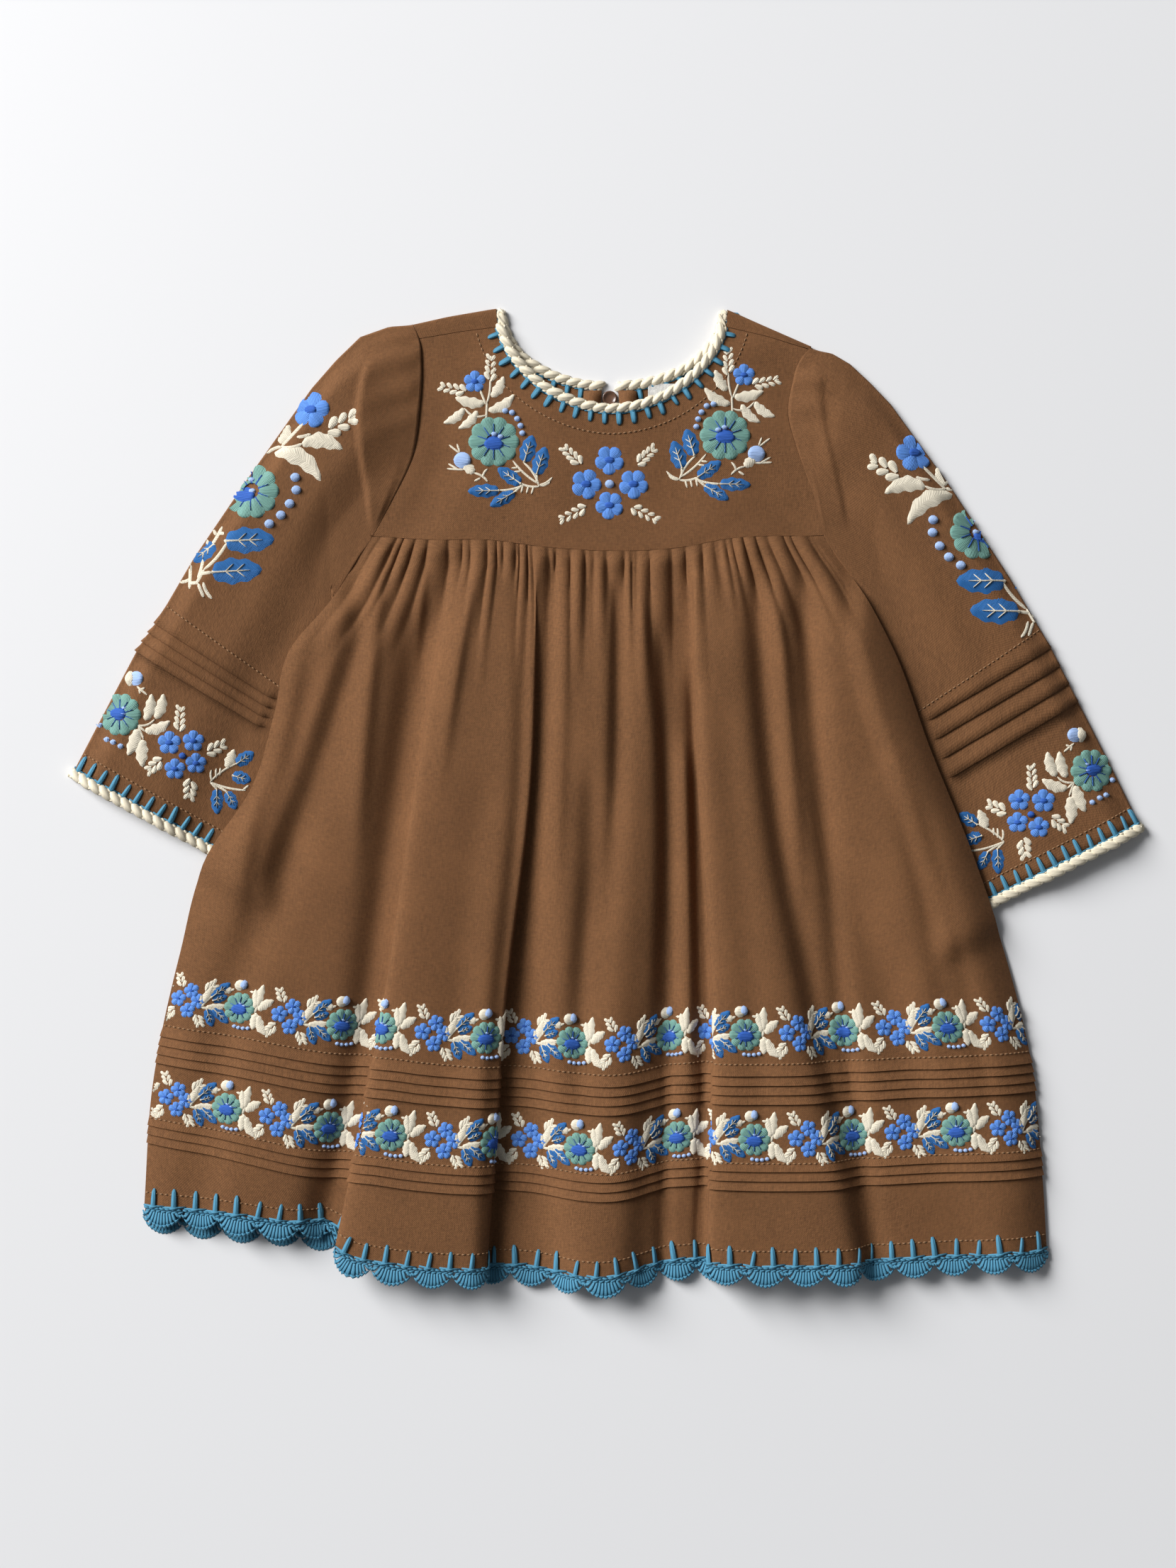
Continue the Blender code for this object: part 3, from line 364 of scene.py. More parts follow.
def folds_at(x, y, v):
    """Add up the folds' heights and the shifts of their leaning edges."""
    height = np.zeros_like(x)
    shift = np.zeros_like(x)
    for fold in FOLDS:
        named = dict(zip(FOLD_COLUMNS, fold))
        t = (x - fold_x(fold, y)) / named["soft"]
        rise = named["rise_top"] + (named["rise_hem"] - named["rise_top"]) * v
        lean = (named["lean_top"] + (named["lean_hem"] - named["lean_top"]) * v) * ease(v / 0.1)
        height = height + rise * 0.5 * (1 + np.tanh(t))
        shift = shift - lean * t * np.exp(-t * t) / LEAN_PEAK
    return height, shift


def front_skirt_point(a, v):
    """Give points of the front skirt's middle surface, without its gathers."""
    a = np.atleast_1d(np.asarray(a, float))
    x = skirt_x(a, v)
    top_x = skirt_x(a, 0.0)
    hem_x = skirt_x(a, 1.0)
    top = seam_y(top_x) - SEAM / 2
    pull = np.interp(hem_x, HEM_PULL["x"], HEM_PULL["rise"]) * ease((v - HEM_RAMP) / (1 - HEM_RAMP))
    y = top + v * (hem_y(hem_x) - top) + pull
    height, shift = folds_at(x, y, v)
    row = skirt_row(v)
    side = np.minimum(x - row[0], row[-1] - x)
    window = 1 - (1 - np.clip(side / SIDE_ROLL, 0, 1)) ** 2
    loft = window * np.maximum(FOLD_DEPTH * height + ROLL_HEIGHT, LEAST_LOFT)
    grown = ease(v / LOFT_GROWTH)
    under = FLOOR_LEVEL + LAYER + SLEEVE_CLEAR * (back_level(x, y) - FLOOR_LEVEL)
    resting = under + loft * (TOP_LOFT + (1 - TOP_LOFT) * grown)
    seam = np.maximum(yoke_level(top_x, seam_y(top_x)), under)
    z = seam + (resting - seam) * ease(v / 0.05)
    return np.stack([x + shift * window, y, z], axis=-1)


def coons(top, bottom, left, right, rows):
    """Fill four edges with a grid, its rows at the given places from top to bottom."""
    columns = np.linspace(0, 1, len(top))
    grid = []
    for w, start, end in zip(rows, left, right):
        plain = (1 - w) * top + w * bottom
        fix_left = start - plain[0]
        fix_right = end - plain[-1]
        near_left = (1 - columns)[:, None] ** 3
        near_right = columns[:, None] ** 3
        grid.append(plain + near_left * fix_left + near_right * fix_right)
    return np.array(grid)


def armhole_rows(seam, hole):
    """Give the heights at which the pieces meet along an armhole, from its seam down."""
    top = seam[0][1] if hole is ARMHOLE_LEFT else seam[-1][1]
    bottom = hole["y"][-1]
    return top + (bottom - top) * np.array(YOKE_ROWS)


def armhole_line(hole, heights):
    """Give the points of an armhole at the given heights."""
    return np.stack([edge_x(hole, heights), heights], axis=-1)


def seam_line(first, last, count):
    """Give points of the gathered seam from one x to another."""
    x = np.linspace(first, last, count)
    return np.stack([x, seam_y(x) + SEAM / 2], axis=-1)


def neck_ends():
    """Give the turns of the front neck edge at which it meets the two shoulder seams."""
    turns = np.linspace(0, 0.5, 2001)
    rise = neck_point(NECK_FRONT, turns)[:, 1]
    return float(np.interp(-SHOULDER_SEAM_LEFT[-1][1], -rise, turns))




# Meshes and surfaces

THIN = 0.6
GATHERS = 40
CLOTH_PITCH = 0.55


def wall_arrays(points, wall, ring=False, hidden=None, relief=None, slide=None):
    """Work out the points and faces of a thin closed wall round a grid of middle points."""
    rows, columns = points.shape[:2]
    if ring:
        across = (np.roll(points, -1, axis=1) - np.roll(points, 1, axis=1)) / 2
    else:
        across = np.gradient(points, axis=1)
    down = np.gradient(points, axis=0)
    normals = np.cross(down, across)
    normals /= np.linalg.norm(normals, axis=2, keepdims=True) + 1e-9
    raised = 0 if relief is None else relief[..., None]
    outer = points + normals * (wall / 2 + raised)
    if slide is not None:
        outer = outer + down / (np.linalg.norm(down, axis=2, keepdims=True) + 1e-9) * slide[..., None]
    outer = outer.reshape(-1, 3)
    inner = (points - normals * (wall / 2)).reshape(-1, 3)
    index = np.arange(rows * columns).reshape(rows, columns)
    right = np.roll(index, -1, axis=1) if ring else index[:, 1:]
    left = index if ring else index[:, :-1]
    cells = np.stack([left[:-1], left[1:], right[1:], right[:-1]], axis=-1)
    if hidden is not None:
        cells = cells[~hidden]
    cells = cells.reshape(-1, 4)
    shift = rows * columns
    edges = np.concatenate([cells[:, [k, (k + 1) % 4]] for k in range(4)])
    code = edges[:, 0] * shift + edges[:, 1]
    back = edges[:, 1] * shift + edges[:, 0]
    rim = edges[~np.isin(code, back)]
    rims = np.stack([rim[:, 1], rim[:, 0], rim[:, 0] + shift, rim[:, 1] + shift], axis=-1)
    faces = np.concatenate([cells, cells[:, ::-1] + shift, rims])
    return np.concatenate([outer, inner]), faces, normals


def above_floor(points):
    """Keep points in millimetres from going through the floor."""
    points[:, 2] = np.maximum(points[:, 2], 0.02)
    return points


def mesh_object(name, points, faces, material, cloth=None, smooth=True):
    """Make an object from points in millimetres, with cloth coordinates in millimetres as its map."""
    used = np.unique(faces)
    place = np.full(len(points), -1)
    place[used] = np.arange(len(used))
    faces = place[faces]
    data = bpy.data.meshes.new(name)
    data.vertices.add(len(used))
    data.vertices.foreach_set("co", (above_floor(points)[used] * MM).astype(np.float32).ravel())
    sides = faces.shape[1]
    data.loops.add(faces.size)
    data.loops.foreach_set("vertex_index", faces.ravel().astype(np.int32))
    data.polygons.add(len(faces))
    data.polygons.foreach_set("loop_start", np.arange(0, faces.size, sides, dtype=np.int32))
    data.update(calc_edges=True)
    data.validate()
    if cloth is not None:
        layer = data.uv_layers.new(name="cloth")
        flat = cloth[used][faces.ravel()] * MM
        layer.data.foreach_set("uv", flat.astype(np.float32).ravel())
    if smooth:
        data.shade_smooth()
    data.materials.append(material)
    made = bpy.data.objects.new(name, data)
    bpy.context.scene.collection.objects.link(made)
    return made


def cloth_object(name, points, material, ring=False, hidden=None, relief=None, slide=None, wall=THIN,
                 flat=None):
    """Make one panel of cloth as a thin wall, its map running along its rows and columns."""
    places, faces, _ = wall_arrays(points, wall, ring, hidden, relief, slide)
    if flat is None:
        across = np.linalg.norm(np.diff(points, axis=1), axis=2)
        across = np.concatenate([np.zeros((len(points), 1)), np.cumsum(across, axis=1)], axis=1)
        across -= across[:, across.shape[1] // 2][:, None]
        down = np.linalg.norm(np.diff(points, axis=0), axis=2)
        down = np.concatenate([np.zeros((1, points.shape[1])), np.cumsum(down, axis=0)], axis=0)
        flat = np.stack([across, -down], axis=-1)
    flat = flat.reshape(-1, 2)
    made = mesh_object(name, places, faces, material, np.concatenate([flat, flat]))
    if not ring:
        made.data.set_sharp_from_angle(angle=math.radians(70))
    return made


def finish_piece(made, replaces=(), body="root"):
    """Tell the frame which body a piece rides on and the solids it replaces."""
    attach(made, body)
    if replaces:
        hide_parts(*replaces)
    return made


# The skirt's surfaces


def gather_table():
    """List the gathers under the yoke, uneven in place, height and length."""
    chance = np.random.default_rng(11)
    widths = 0.25 + chance.gamma(2.2, 0.45, GATHERS)
    edges = np.concatenate([[0.0], np.cumsum(widths)]) / widths.sum()
    heights = np.minimum(chance.uniform(0.45, 0.9, GATHERS) * widths ** 0.6, 1.0) * GATHER_HEIGHT
    lengths = np.clip(chance.uniform(0.04, 0.26, GATHERS) * widths ** 0.5, 0.05, 0.36)
    return edges, heights, lengths


def gather_height(a, v):
    """Give the height of the gathers: round tops between narrow creases, fading below the seam."""
    edges, heights, lengths = GATHER_TABLE
    k = np.clip(np.searchsorted(edges, a, side="right") - 1, 0, GATHERS - 1)
    t = np.clip((a - edges[k]) / (edges[k + 1] - edges[k]), 0, 1)
    fade = ease(1 - v / lengths[k]) * (0.45 + 0.55 * ease(v / 0.02))
    sharp = 0.55 + 1.2 * v / lengths[k]
    return heights[k] * fade * (4 * t * (1 - t) + 1e-6) ** sharp


def soft_waves(x, y):
    """Give the small uneven waves that soft cloth keeps when it lies flat."""
    wave = 0.35 * np.sin(x / 17.0 + 1.3 * np.sin(y / 61.0)) * np.sin(y / 43.0 + 0.6 * np.sin(x / 29.0))
    return wave + 0.22 * np.sin(x / 7.3 + y / 31.0 + 1.1 * np.sin(y / 19.0))


def drape_height(x, y, v):
    """Add up the long soft folds and creases that the photograph shows between the big folds."""
    height = np.zeros_like(x)
    for *places, rise, wide, start, end in DRAPES:
        middle = smooth_curve(-np.array(FOLD_LEVELS), places, -y)
        t = (x - middle) / wide
        t = np.where(t > 0, 1.5 * t, 0.8 * t) if rise > 0 else t
        height = height + rise * np.exp(-t * t) * ease((v - start) / 0.08) * ease((end - v) / 0.2)
    return height


def skirt_places(v, each):
    """Place the columns across the front skirt: even in the gathers, close at the folds below."""
    crowd = CROWDING * ease((v - 0.05) / 0.3)
    places = [0.0]
    for segment, count in enumerate(SKIRT_SEGMENTS):
        u = np.arange(1, count * each + 1) / (count * each)
        u = u - crowd * np.sin(2 * np.pi * u) / (2 * np.pi)
        start, end = SKIRT_STATIONS[segment:segment + 2]
        places.extend(start + (end - start) * u)
    return np.array(places)


def front_row(a, v):
    """Give a row of the front skirt with its gathers and small waves."""
    row = front_skirt_point(a, v)
    side = np.minimum(row[:, 0] - row[0, 0], row[-1, 0] - row[:, 0])
    inside = ease(side / 14.0)
    small = gather_height(a, v) + soft_waves(row[:, 0], row[:, 1]) * ease(v / 0.1)
    row[:, 2] += (small + drape_height(row[:, 0], row[:, 1], v)) * inside
    row[:, 2] = np.maximum(row[:, 2], back_level(row[:, 0], row[:, 1]) + LAYER)
    return row


def back_skirt_row(a, v):
    """Give a row of the back skirt, flat on the floor but for the sleeves under it."""
    row = skirt_row(v)
    x = row[0] + (row[-1] - row[0]) * a
    first = skirt_row(0.0)
    last = skirt_row(1.0)
    top_x = first[0] + (first[-1] - first[0]) * a
    hem_x = last[0] + (last[-1] - last[0]) * a
    top = seam_y(top_x) - SEAM / 2
    front = top + v * (hem_y(hem_x) - top)
    hem = np.interp(hem_x, BACK_HEM["x"], BACK_HEM["y"])
    y = front + (hem - hem_y(hem_x)) * ease((v - HEM_RAMP) / (1 - HEM_RAMP))
    return np.stack([x, y, back_level(x, y)], axis=-1)


GATHER_TABLE = gather_table()


# Materials


def shader_group(name, inputs, outputs):
    """Start a shader node group with its named sockets."""
    group = bpy.data.node_groups.new(name, "ShaderNodeTree")
    for label, kind, value in inputs:
        socket = group.interface.new_socket(name=label, in_out="INPUT", socket_type=kind)
        socket.default_value = value
    for label, kind in outputs:
        group.interface.new_socket(name=label, in_out="OUTPUT", socket_type=kind)
    start = group.nodes.new("NodeGroupInput")
    end = group.nodes.new("NodeGroupOutput")
    start.location, end.location = (-1200, 0), (600, 0)
    return group, start, end


def add_node(tree, kind, place, **settings):
    """Add a node at a place in the tree with its settings and any socket values."""
    node = tree.nodes.new(kind)
    node.location = place
    for key, value in settings.items():
        if key.startswith("in_"):
            node.inputs[int(key[3:])].default_value = value
        else:
            setattr(node, key, value)
    return node


def weave_group():
    """Make the group for plain woven cloth: a colour with slubs and fading, and a height of threads."""
    group, start, end = shader_group(
        "plain_weave",
        [("Colour", "NodeSocketColor", (0.2, 0.1, 0.05, 1)),
         ("Dark", "NodeSocketColor", (0.1, 0.05, 0.02, 1)),
         ("Pale", "NodeSocketColor", (0.3, 0.2, 0.1, 1)), ("Pitch", "NodeSocketFloat", 0.5)],
        [("Colour", "NodeSocketColor"), ("Height", "NodeSocketFloat")])
    link = group.links.new
    uv = add_node(group, "ShaderNodeUVMap", (-1200, -300), uv_map="cloth")
    scaled = add_node(group, "ShaderNodeVectorMath", (-1000, -300), operation="SCALE")
    scaled.inputs["Scale"].default_value = 1000.0
    link(uv.outputs[0], scaled.inputs[0])
    parts = add_node(group, "ShaderNodeSeparateXYZ", (-820, -300))
    link(scaled.outputs[0], parts.inputs[0])
    slubs = []
    for axis, (wide, tall) in enumerate(((0.22, 2.4), (2.0, 0.16))):
        stretch = add_node(group, "ShaderNodeCombineXYZ", (-640, -200 * axis))
        for side, size in enumerate((wide, tall)):
            grow = add_node(group, "ShaderNodeMath", (-740, -200 * axis - 60 * side), operation="MULTIPLY",
                            in_1=size)
            link(parts.outputs[side], grow.inputs[0])
            link(grow.outputs[0], stretch.inputs[side])
        noise = add_node(group, "ShaderNodeTexNoise", (-460, -200 * axis))
        noise.inputs["Scale"].default_value = 1.0
        noise.inputs["Detail"].default_value = 3.0
        noise.inputs["Roughness"].default_value = 0.6
        link(stretch.outputs[0], noise.inputs["Vector"])
        slubs.append(noise)
    cloud = add_node(group, "ShaderNodeTexNoise", (-460, -460))
    cloud.inputs["Scale"].default_value = 0.035
    cloud.inputs["Detail"].default_value = 4.0
    fleck = add_node(group, "ShaderNodeTexNoise", (-460, -620))
    fleck.inputs["Scale"].default_value = 0.55
    fleck.inputs["Detail"].default_value = 3.0
    fleck.inputs["Roughness"].default_value = 0.65
    link(scaled.outputs[0], cloud.inputs["Vector"])
    link(scaled.outputs[0], fleck.inputs["Vector"])
    pair = add_node(group, "ShaderNodeMath", (-360, -60), operation="ADD")
    link(slubs[0].outputs["Fac"], pair.inputs[0])
    link(slubs[1].outputs["Fac"], pair.inputs[1])
    both = add_node(group, "ShaderNodeMath", (-260, -60), operation="ADD")
    link(pair.outputs[0], both.inputs[0])
    link(fleck.outputs["Fac"], both.inputs[1])
    tone = add_node(group, "ShaderNodeMapRange", (-80, -60))
    tone.inputs["From Min"].default_value = 1.2
    tone.inputs["From Max"].default_value = 1.8
    link(both.outputs[0], tone.inputs["Value"])
    dark = add_node(group, "ShaderNodeMix", (120, 60), data_type="RGBA")
    link(tone.outputs[0], dark.inputs["Factor"])
    link(start.outputs["Dark"], dark.inputs["A"])
    link(start.outputs["Colour"], dark.inputs["B"])
    faded = add_node(group, "ShaderNodeMapRange", (-80, -460))
    faded.inputs["From Min"].default_value = 0.45
    faded.inputs["From Max"].default_value = 0.75
    faded.inputs["To Max"].default_value = 0.16
    link(cloud.outputs["Fac"], faded.inputs["Value"])
    pale = add_node(group, "ShaderNodeMix", (320, 60), data_type="RGBA")
    link(faded.outputs[0], pale.inputs["Factor"])
    link(dark.outputs["Result"], pale.inputs["A"])
    link(start.outputs["Pale"], pale.inputs["B"])
    link(pale.outputs["Result"], end.inputs["Colour"])
    threads = []
    for side in range(2):
        turn = add_node(group, "ShaderNodeMath", (-640, -700 - 160 * side), operation="DIVIDE")
        link(parts.outputs[side], turn.inputs[0])
        link(start.outputs["Pitch"], turn.inputs[1])
        full = add_node(group, "ShaderNodeMath", (-480, -700 - 160 * side), operation="MULTIPLY",
                        in_1=math.pi)
        link(turn.outputs[0], full.inputs[0])
        wave = add_node(group, "ShaderNodeMath", (-320, -700 - 160 * side), operation="SINE")
        link(full.outputs[0], wave.inputs[0])
        threads.append(wave)
    cross = add_node(group, "ShaderNodeMath", (-140, -760), operation="MULTIPLY")
    link(threads[0].outputs[0], cross.inputs[0])
    link(threads[1].outputs[0], cross.inputs[1])
    mixed = add_node(group, "ShaderNodeMath", (60, -700), operation="MULTIPLY_ADD", in_1=0.3)
    link(cross.outputs[0], mixed.inputs[0])
    link(both.outputs[0], mixed.inputs[2])
    link(mixed.outputs[0], end.inputs["Height"])
    return group


def thread_group():
    """Make the group for laid threads: fine ridges across a map's first direction, with soft random tone and
    painted shade that darkens the colour in the grooves between the ridges.
    """
    group, start, end = shader_group(
        "laid_thread",
        [("Colour", "NodeSocketColor", (0.5, 0.5, 0.5, 1)), ("Dark", "NodeSocketColor", (0.2, 0.2, 0.2, 1)),
         ("Pitch", "NodeSocketFloat", 0.5)],
        [("Colour", "NodeSocketColor"), ("Height", "NodeSocketFloat")])
    link = group.links.new
    uv = add_node(group, "ShaderNodeUVMap", (-1200, -300), uv_map="cloth")
    scaled = add_node(group, "ShaderNodeVectorMath", (-1020, -300), operation="SCALE")
    scaled.inputs["Scale"].default_value = 1000.0
    link(uv.outputs[0], scaled.inputs[0])
    parts = add_node(group, "ShaderNodeSeparateXYZ", (-840, -300))
    link(scaled.outputs[0], parts.inputs[0])
    stretch = add_node(group, "ShaderNodeCombineXYZ", (-640, -120))
    link(parts.outputs[0], stretch.inputs[0])
    slow = add_node(group, "ShaderNodeMath", (-740, -180), operation="MULTIPLY", in_1=0.12)
    link(parts.outputs[1], slow.inputs[0])
    link(slow.outputs[0], stretch.inputs[1])
    noise = add_node(group, "ShaderNodeTexNoise", (-460, -120))
    noise.inputs["Scale"].default_value = 1.6
    noise.inputs["Detail"].default_value = 2.0
    link(stretch.outputs[0], noise.inputs["Vector"])
    turn = add_node(group, "ShaderNodeMath", (-640, -420), operation="DIVIDE")
    link(parts.outputs[0], turn.inputs[0])
    link(start.outputs["Pitch"], turn.inputs[1])
    full = add_node(group, "ShaderNodeMath", (-480, -420), operation="MULTIPLY_ADD", in_1=2 * math.pi)
    link(turn.outputs[0], full.inputs[0])
    shaken = add_node(group, "ShaderNodeMath", (-480, -580), operation="MULTIPLY", in_1=5.0)
    link(noise.outputs["Fac"], shaken.inputs[0])
    link(shaken.outputs[0], full.inputs[2])
    wave = add_node(group, "ShaderNodeMath", (-300, -420), operation="SINE")
    link(full.outputs[0], wave.inputs[0])
    ridge = add_node(group, "ShaderNodeMapRange", (-120, -420))
    ridge.inputs["From Min"].default_value = -1.0
    link(wave.outputs[0], ridge.inputs["Value"])
    # painted shade: the colour falls to the dark tone in the grooves between the thread ridges, mixed with
    # soft random tone
    tone = add_node(group, "ShaderNodeMath", (60, -240), operation="MULTIPLY_ADD", in_1=0.45)
    link(ridge.outputs[0], tone.inputs[0])
    link(noise.outputs["Fac"], tone.inputs[2])
    colour = add_node(group, "ShaderNodeMix", (260, 0), data_type="RGBA")
    link(tone.outputs[0], colour.inputs["Factor"])
    link(start.outputs["Dark"], colour.inputs["A"])
    link(start.outputs["Colour"], colour.inputs["B"])
    link(colour.outputs["Result"], end.inputs["Colour"])
    link(ridge.outputs[0], end.inputs["Height"])
    return group


def shade(colour, factor):
    """Give a darker or lighter colour."""
    return tuple(min(1.0, c * factor) for c in colour[:3]) + (1.0,)


def grouped_material(name, group, colours, pitch, roughness, bump, sheen=0.0):
    """Make a material whose colour and fine height come from one of the cloth or thread groups."""
    material = bpy.data.materials.new(name)
    material.use_nodes = True
    tree = material.node_tree
    shader = tree.nodes["Principled BSDF"]
    node = add_node(tree, "ShaderNodeGroup", (-500, 0))
    node.node_tree = group
    for label, colour in colours.items():
        node.inputs[label].default_value = colour
    node.inputs["Pitch"].default_value = pitch
    raised = add_node(tree, "ShaderNodeBump", (-250, -200))
    raised.inputs["Strength"].default_value = bump[0]
    raised.inputs["Distance"].default_value = bump[1] * MM
    tree.links.new(node.outputs["Colour"], shader.inputs["Base Color"])
    tree.links.new(node.outputs["Height"], raised.inputs["Height"])
    tree.links.new(raised.outputs["Normal"], shader.inputs["Normal"])
    shader.inputs["Roughness"].default_value = roughness
    shader.inputs["Specular IOR Level"].default_value = 0.25
    if sheen:
        shader.inputs["Sheen Weight"].default_value = sheen
        shader.inputs["Sheen Roughness"].default_value = 0.5
        shader.inputs["Sheen Tint"].default_value = shade(colours["Colour"], 2.2)
    return material


# What repeats along an edge or a seam


def repeat_tree():
    """Make the tree that sets a shape again and again along a straight row, each a little uneven."""
    tree = bpy.data.node_groups.new("repeat_in_a_row", "GeometryNodeTree")
    tree.interface.new_socket(name="Geometry", in_out="OUTPUT", socket_type="NodeSocketGeometry")
    for label, kind in (("Geometry", "NodeSocketGeometry"), ("Shape", "NodeSocketObject"),
                        ("Finish", "NodeSocketMaterial"), ("Count", "NodeSocketInt"),
                        ("Pitch", "NodeSocketFloat"), ("Unevenness", "NodeSocketFloat"),
                        ("Wobble", "NodeSocketFloat"), ("Seed", "NodeSocketInt")):
        tree.interface.new_socket(name=label, in_out="INPUT", socket_type=kind)
    start = add_node(tree, "NodeGroupInput", (-1000, 0))
    end = add_node(tree, "NodeGroupOutput", (800, 0))
    step = add_node(tree, "ShaderNodeCombineXYZ", (-780, 160))
    row = add_node(tree, "GeometryNodeMeshLine", (-560, 160))
    shape = add_node(tree, "GeometryNodeObjectInfo", (-560, -60))
    low = add_node(tree, "ShaderNodeMath", (-780, -260), operation="SUBTRACT", in_0=1.0)
    high = add_node(tree, "ShaderNodeMath", (-780, -420), operation="ADD", in_0=1.0)
    size = add_node(tree, "FunctionNodeRandomValue", (-560, -260), data_type="FLOAT")
    back = add_node(tree, "ShaderNodeMath", (-780, -580), operation="MULTIPLY", in_1=-1.0)
    swing = add_node(tree, "FunctionNodeRandomValue", (-560, -480), data_type="FLOAT")
    turn = add_node(tree, "ShaderNodeCombineXYZ", (-340, -480))
    place = add_node(tree, "GeometryNodeInstanceOnPoints", (-60, 0))
    real = add_node(tree, "GeometryNodeRealizeInstances", (200, 0))
    paint = add_node(tree, "GeometryNodeSetMaterial", (480, 0))
    link = tree.links.new
    link(start.outputs["Pitch"], step.inputs["X"])
    link(start.outputs["Count"], row.inputs["Count"])
    link(step.outputs[0], row.inputs["Offset"])
    link(start.outputs["Shape"], shape.inputs["Object"])
    link(start.outputs["Unevenness"], low.inputs[1])
    link(start.outputs["Unevenness"], high.inputs[1])
    link(start.outputs["Wobble"], back.inputs[0])
    for value, least, most, label in ((size, low, high, "Seed"), (swing, back, None, "Seed")):
        smallest, largest = [s for s in value.inputs if s.enabled and s.name in ("Min", "Max")]
        link(least.outputs[0], smallest)
        link(most.outputs[0] if most else start.outputs["Wobble"], largest)
        link(start.outputs[label], value.inputs["Seed"])
    scale, angle = [[s for s in v.outputs if s.enabled][0] for v in (size, swing)]
    link(angle, turn.inputs["Z"])
    link(row.outputs["Mesh"], place.inputs["Points"])
    link(shape.outputs["Geometry"], place.inputs["Instance"])
    link(turn.outputs[0], place.inputs["Rotation"])
    link(scale, place.inputs["Scale"])
    link(place.outputs["Instances"], real.inputs["Geometry"])
    link(real.outputs["Geometry"], paint.inputs["Geometry"])
    link(start.outputs["Finish"], paint.inputs["Material"])
    link(paint.outputs["Geometry"], end.inputs["Geometry"])
    return tree


def straight_row(name, shape, count, pitch, material, unevenness, wobble, seed):
    """Repeat a shape in a straight row and give the plain mesh of it."""
    tree = bpy.data.node_groups.get("repeat_in_a_row") or repeat_tree()
    carrier = bpy.data.objects.new(name + "_row", bpy.data.meshes.new(name + "_row"))
    bpy.context.scene.collection.objects.link(carrier)
    modifier = carrier.modifiers.new("repeat", "NODES")
    modifier.node_group = tree
    given = {"Shape": shape, "Finish": material, "Count": count, "Pitch": pitch * MM,
             "Unevenness": unevenness, "Wobble": wobble, "Seed": seed}
    for item in tree.interface.items_tree:
        if item.in_out == "INPUT" and item.name in given:
            modifier[item.identifier] = given[item.name]
    evaluated = carrier.evaluated_get(bpy.context.evaluated_depsgraph_get())
    data = bpy.data.meshes.new_from_object(evaluated)
    bpy.data.objects.remove(carrier)
    bpy.data.objects.remove(shape)
    return data


def mesh_points(data):
    """Read a mesh's points in millimetres."""
    places = np.zeros(3 * len(data.vertices), np.float32)
    data.vertices.foreach_get("co", places)
    return places.reshape(-1, 3).astype(float) / MM


class Path:
    """A line on the dress with the direction across it and the way up at each point."""

    def __init__(self, points, sides, up=None, closed=False):
        points = np.asarray(points, float)
        sides = np.broadcast_to(np.asarray(sides, float), points.shape).copy()
        if closed:
            points, sides = np.vstack([points, points[:1]]), np.vstack([sides, sides[:1]])
        self.points = points
        runs = np.gradient(points, axis=0)
        if closed:
            runs[0] = runs[-1] = points[1] - points[-2]
        runs /= np.linalg.norm(runs, axis=1, keepdims=True) + 1e-9
        sides -= np.sum(sides * runs, axis=1, keepdims=True) * runs
        self.sides = sides / (np.linalg.norm(sides, axis=1, keepdims=True) + 1e-9)
        normals = np.cross(runs, self.sides)
        if up is not None:
            wrong = np.sum(normals * up, axis=1) < 0
            normals[wrong] *= -1
        self.normals = normals
        steps = np.linalg.norm(np.diff(points, axis=0), axis=1)
        self.reach = np.concatenate([[0.0], np.cumsum(steps)])
        self.length = self.reach[-1]

    def read(self, values, at):
        """Read values along the line at the given lengths."""
        return np.stack([np.interp(at, self.reach, values[:, k]) for k in range(3)], axis=-1)

    def bend(self, flat):
        """Carry flat points (length along, across, up) onto the line."""
        at = flat[:, 0]
        beyond = at - np.clip(at, 0, self.length)
        start, end = self.points[1] - self.points[0], self.points[-1] - self.points[-2]
        run = np.where(beyond[:, None] < 0, start / (np.linalg.norm(start) + 1e-9),
                       end / (np.linalg.norm(end) + 1e-9))
        return (self.read(self.points, at) + run * beyond[:, None]
                + self.read(self.sides, at) * flat[:, 1:2] + self.read(self.normals, at) * flat[:, 2:3])


def repeat_along(name, shape, path, pitch, material, start=0.0, end=0.0, fit=True, unevenness=0.05,
                 wobble=0.03, seed=1):
    """Repeat a shape along a path at a pitch in millimetres, bent to follow it."""
    span = path.length - start - end
    count = max(1, round(span / pitch))
    step = span / count if fit else pitch
    data = straight_row(name, shape, count, step, material, unevenness, wobble, seed)
    flat = mesh_points(data)
    flat[:, 0] += start + step / 2
    data.vertices.foreach_set("co", (above_floor(path.bend(flat)) * MM).astype(np.float32).ravel())
    data.update()
    data.name = name
    data.shade_smooth()
    made = bpy.data.objects.new(name, data)
    bpy.context.scene.collection.objects.link(made)
    return made


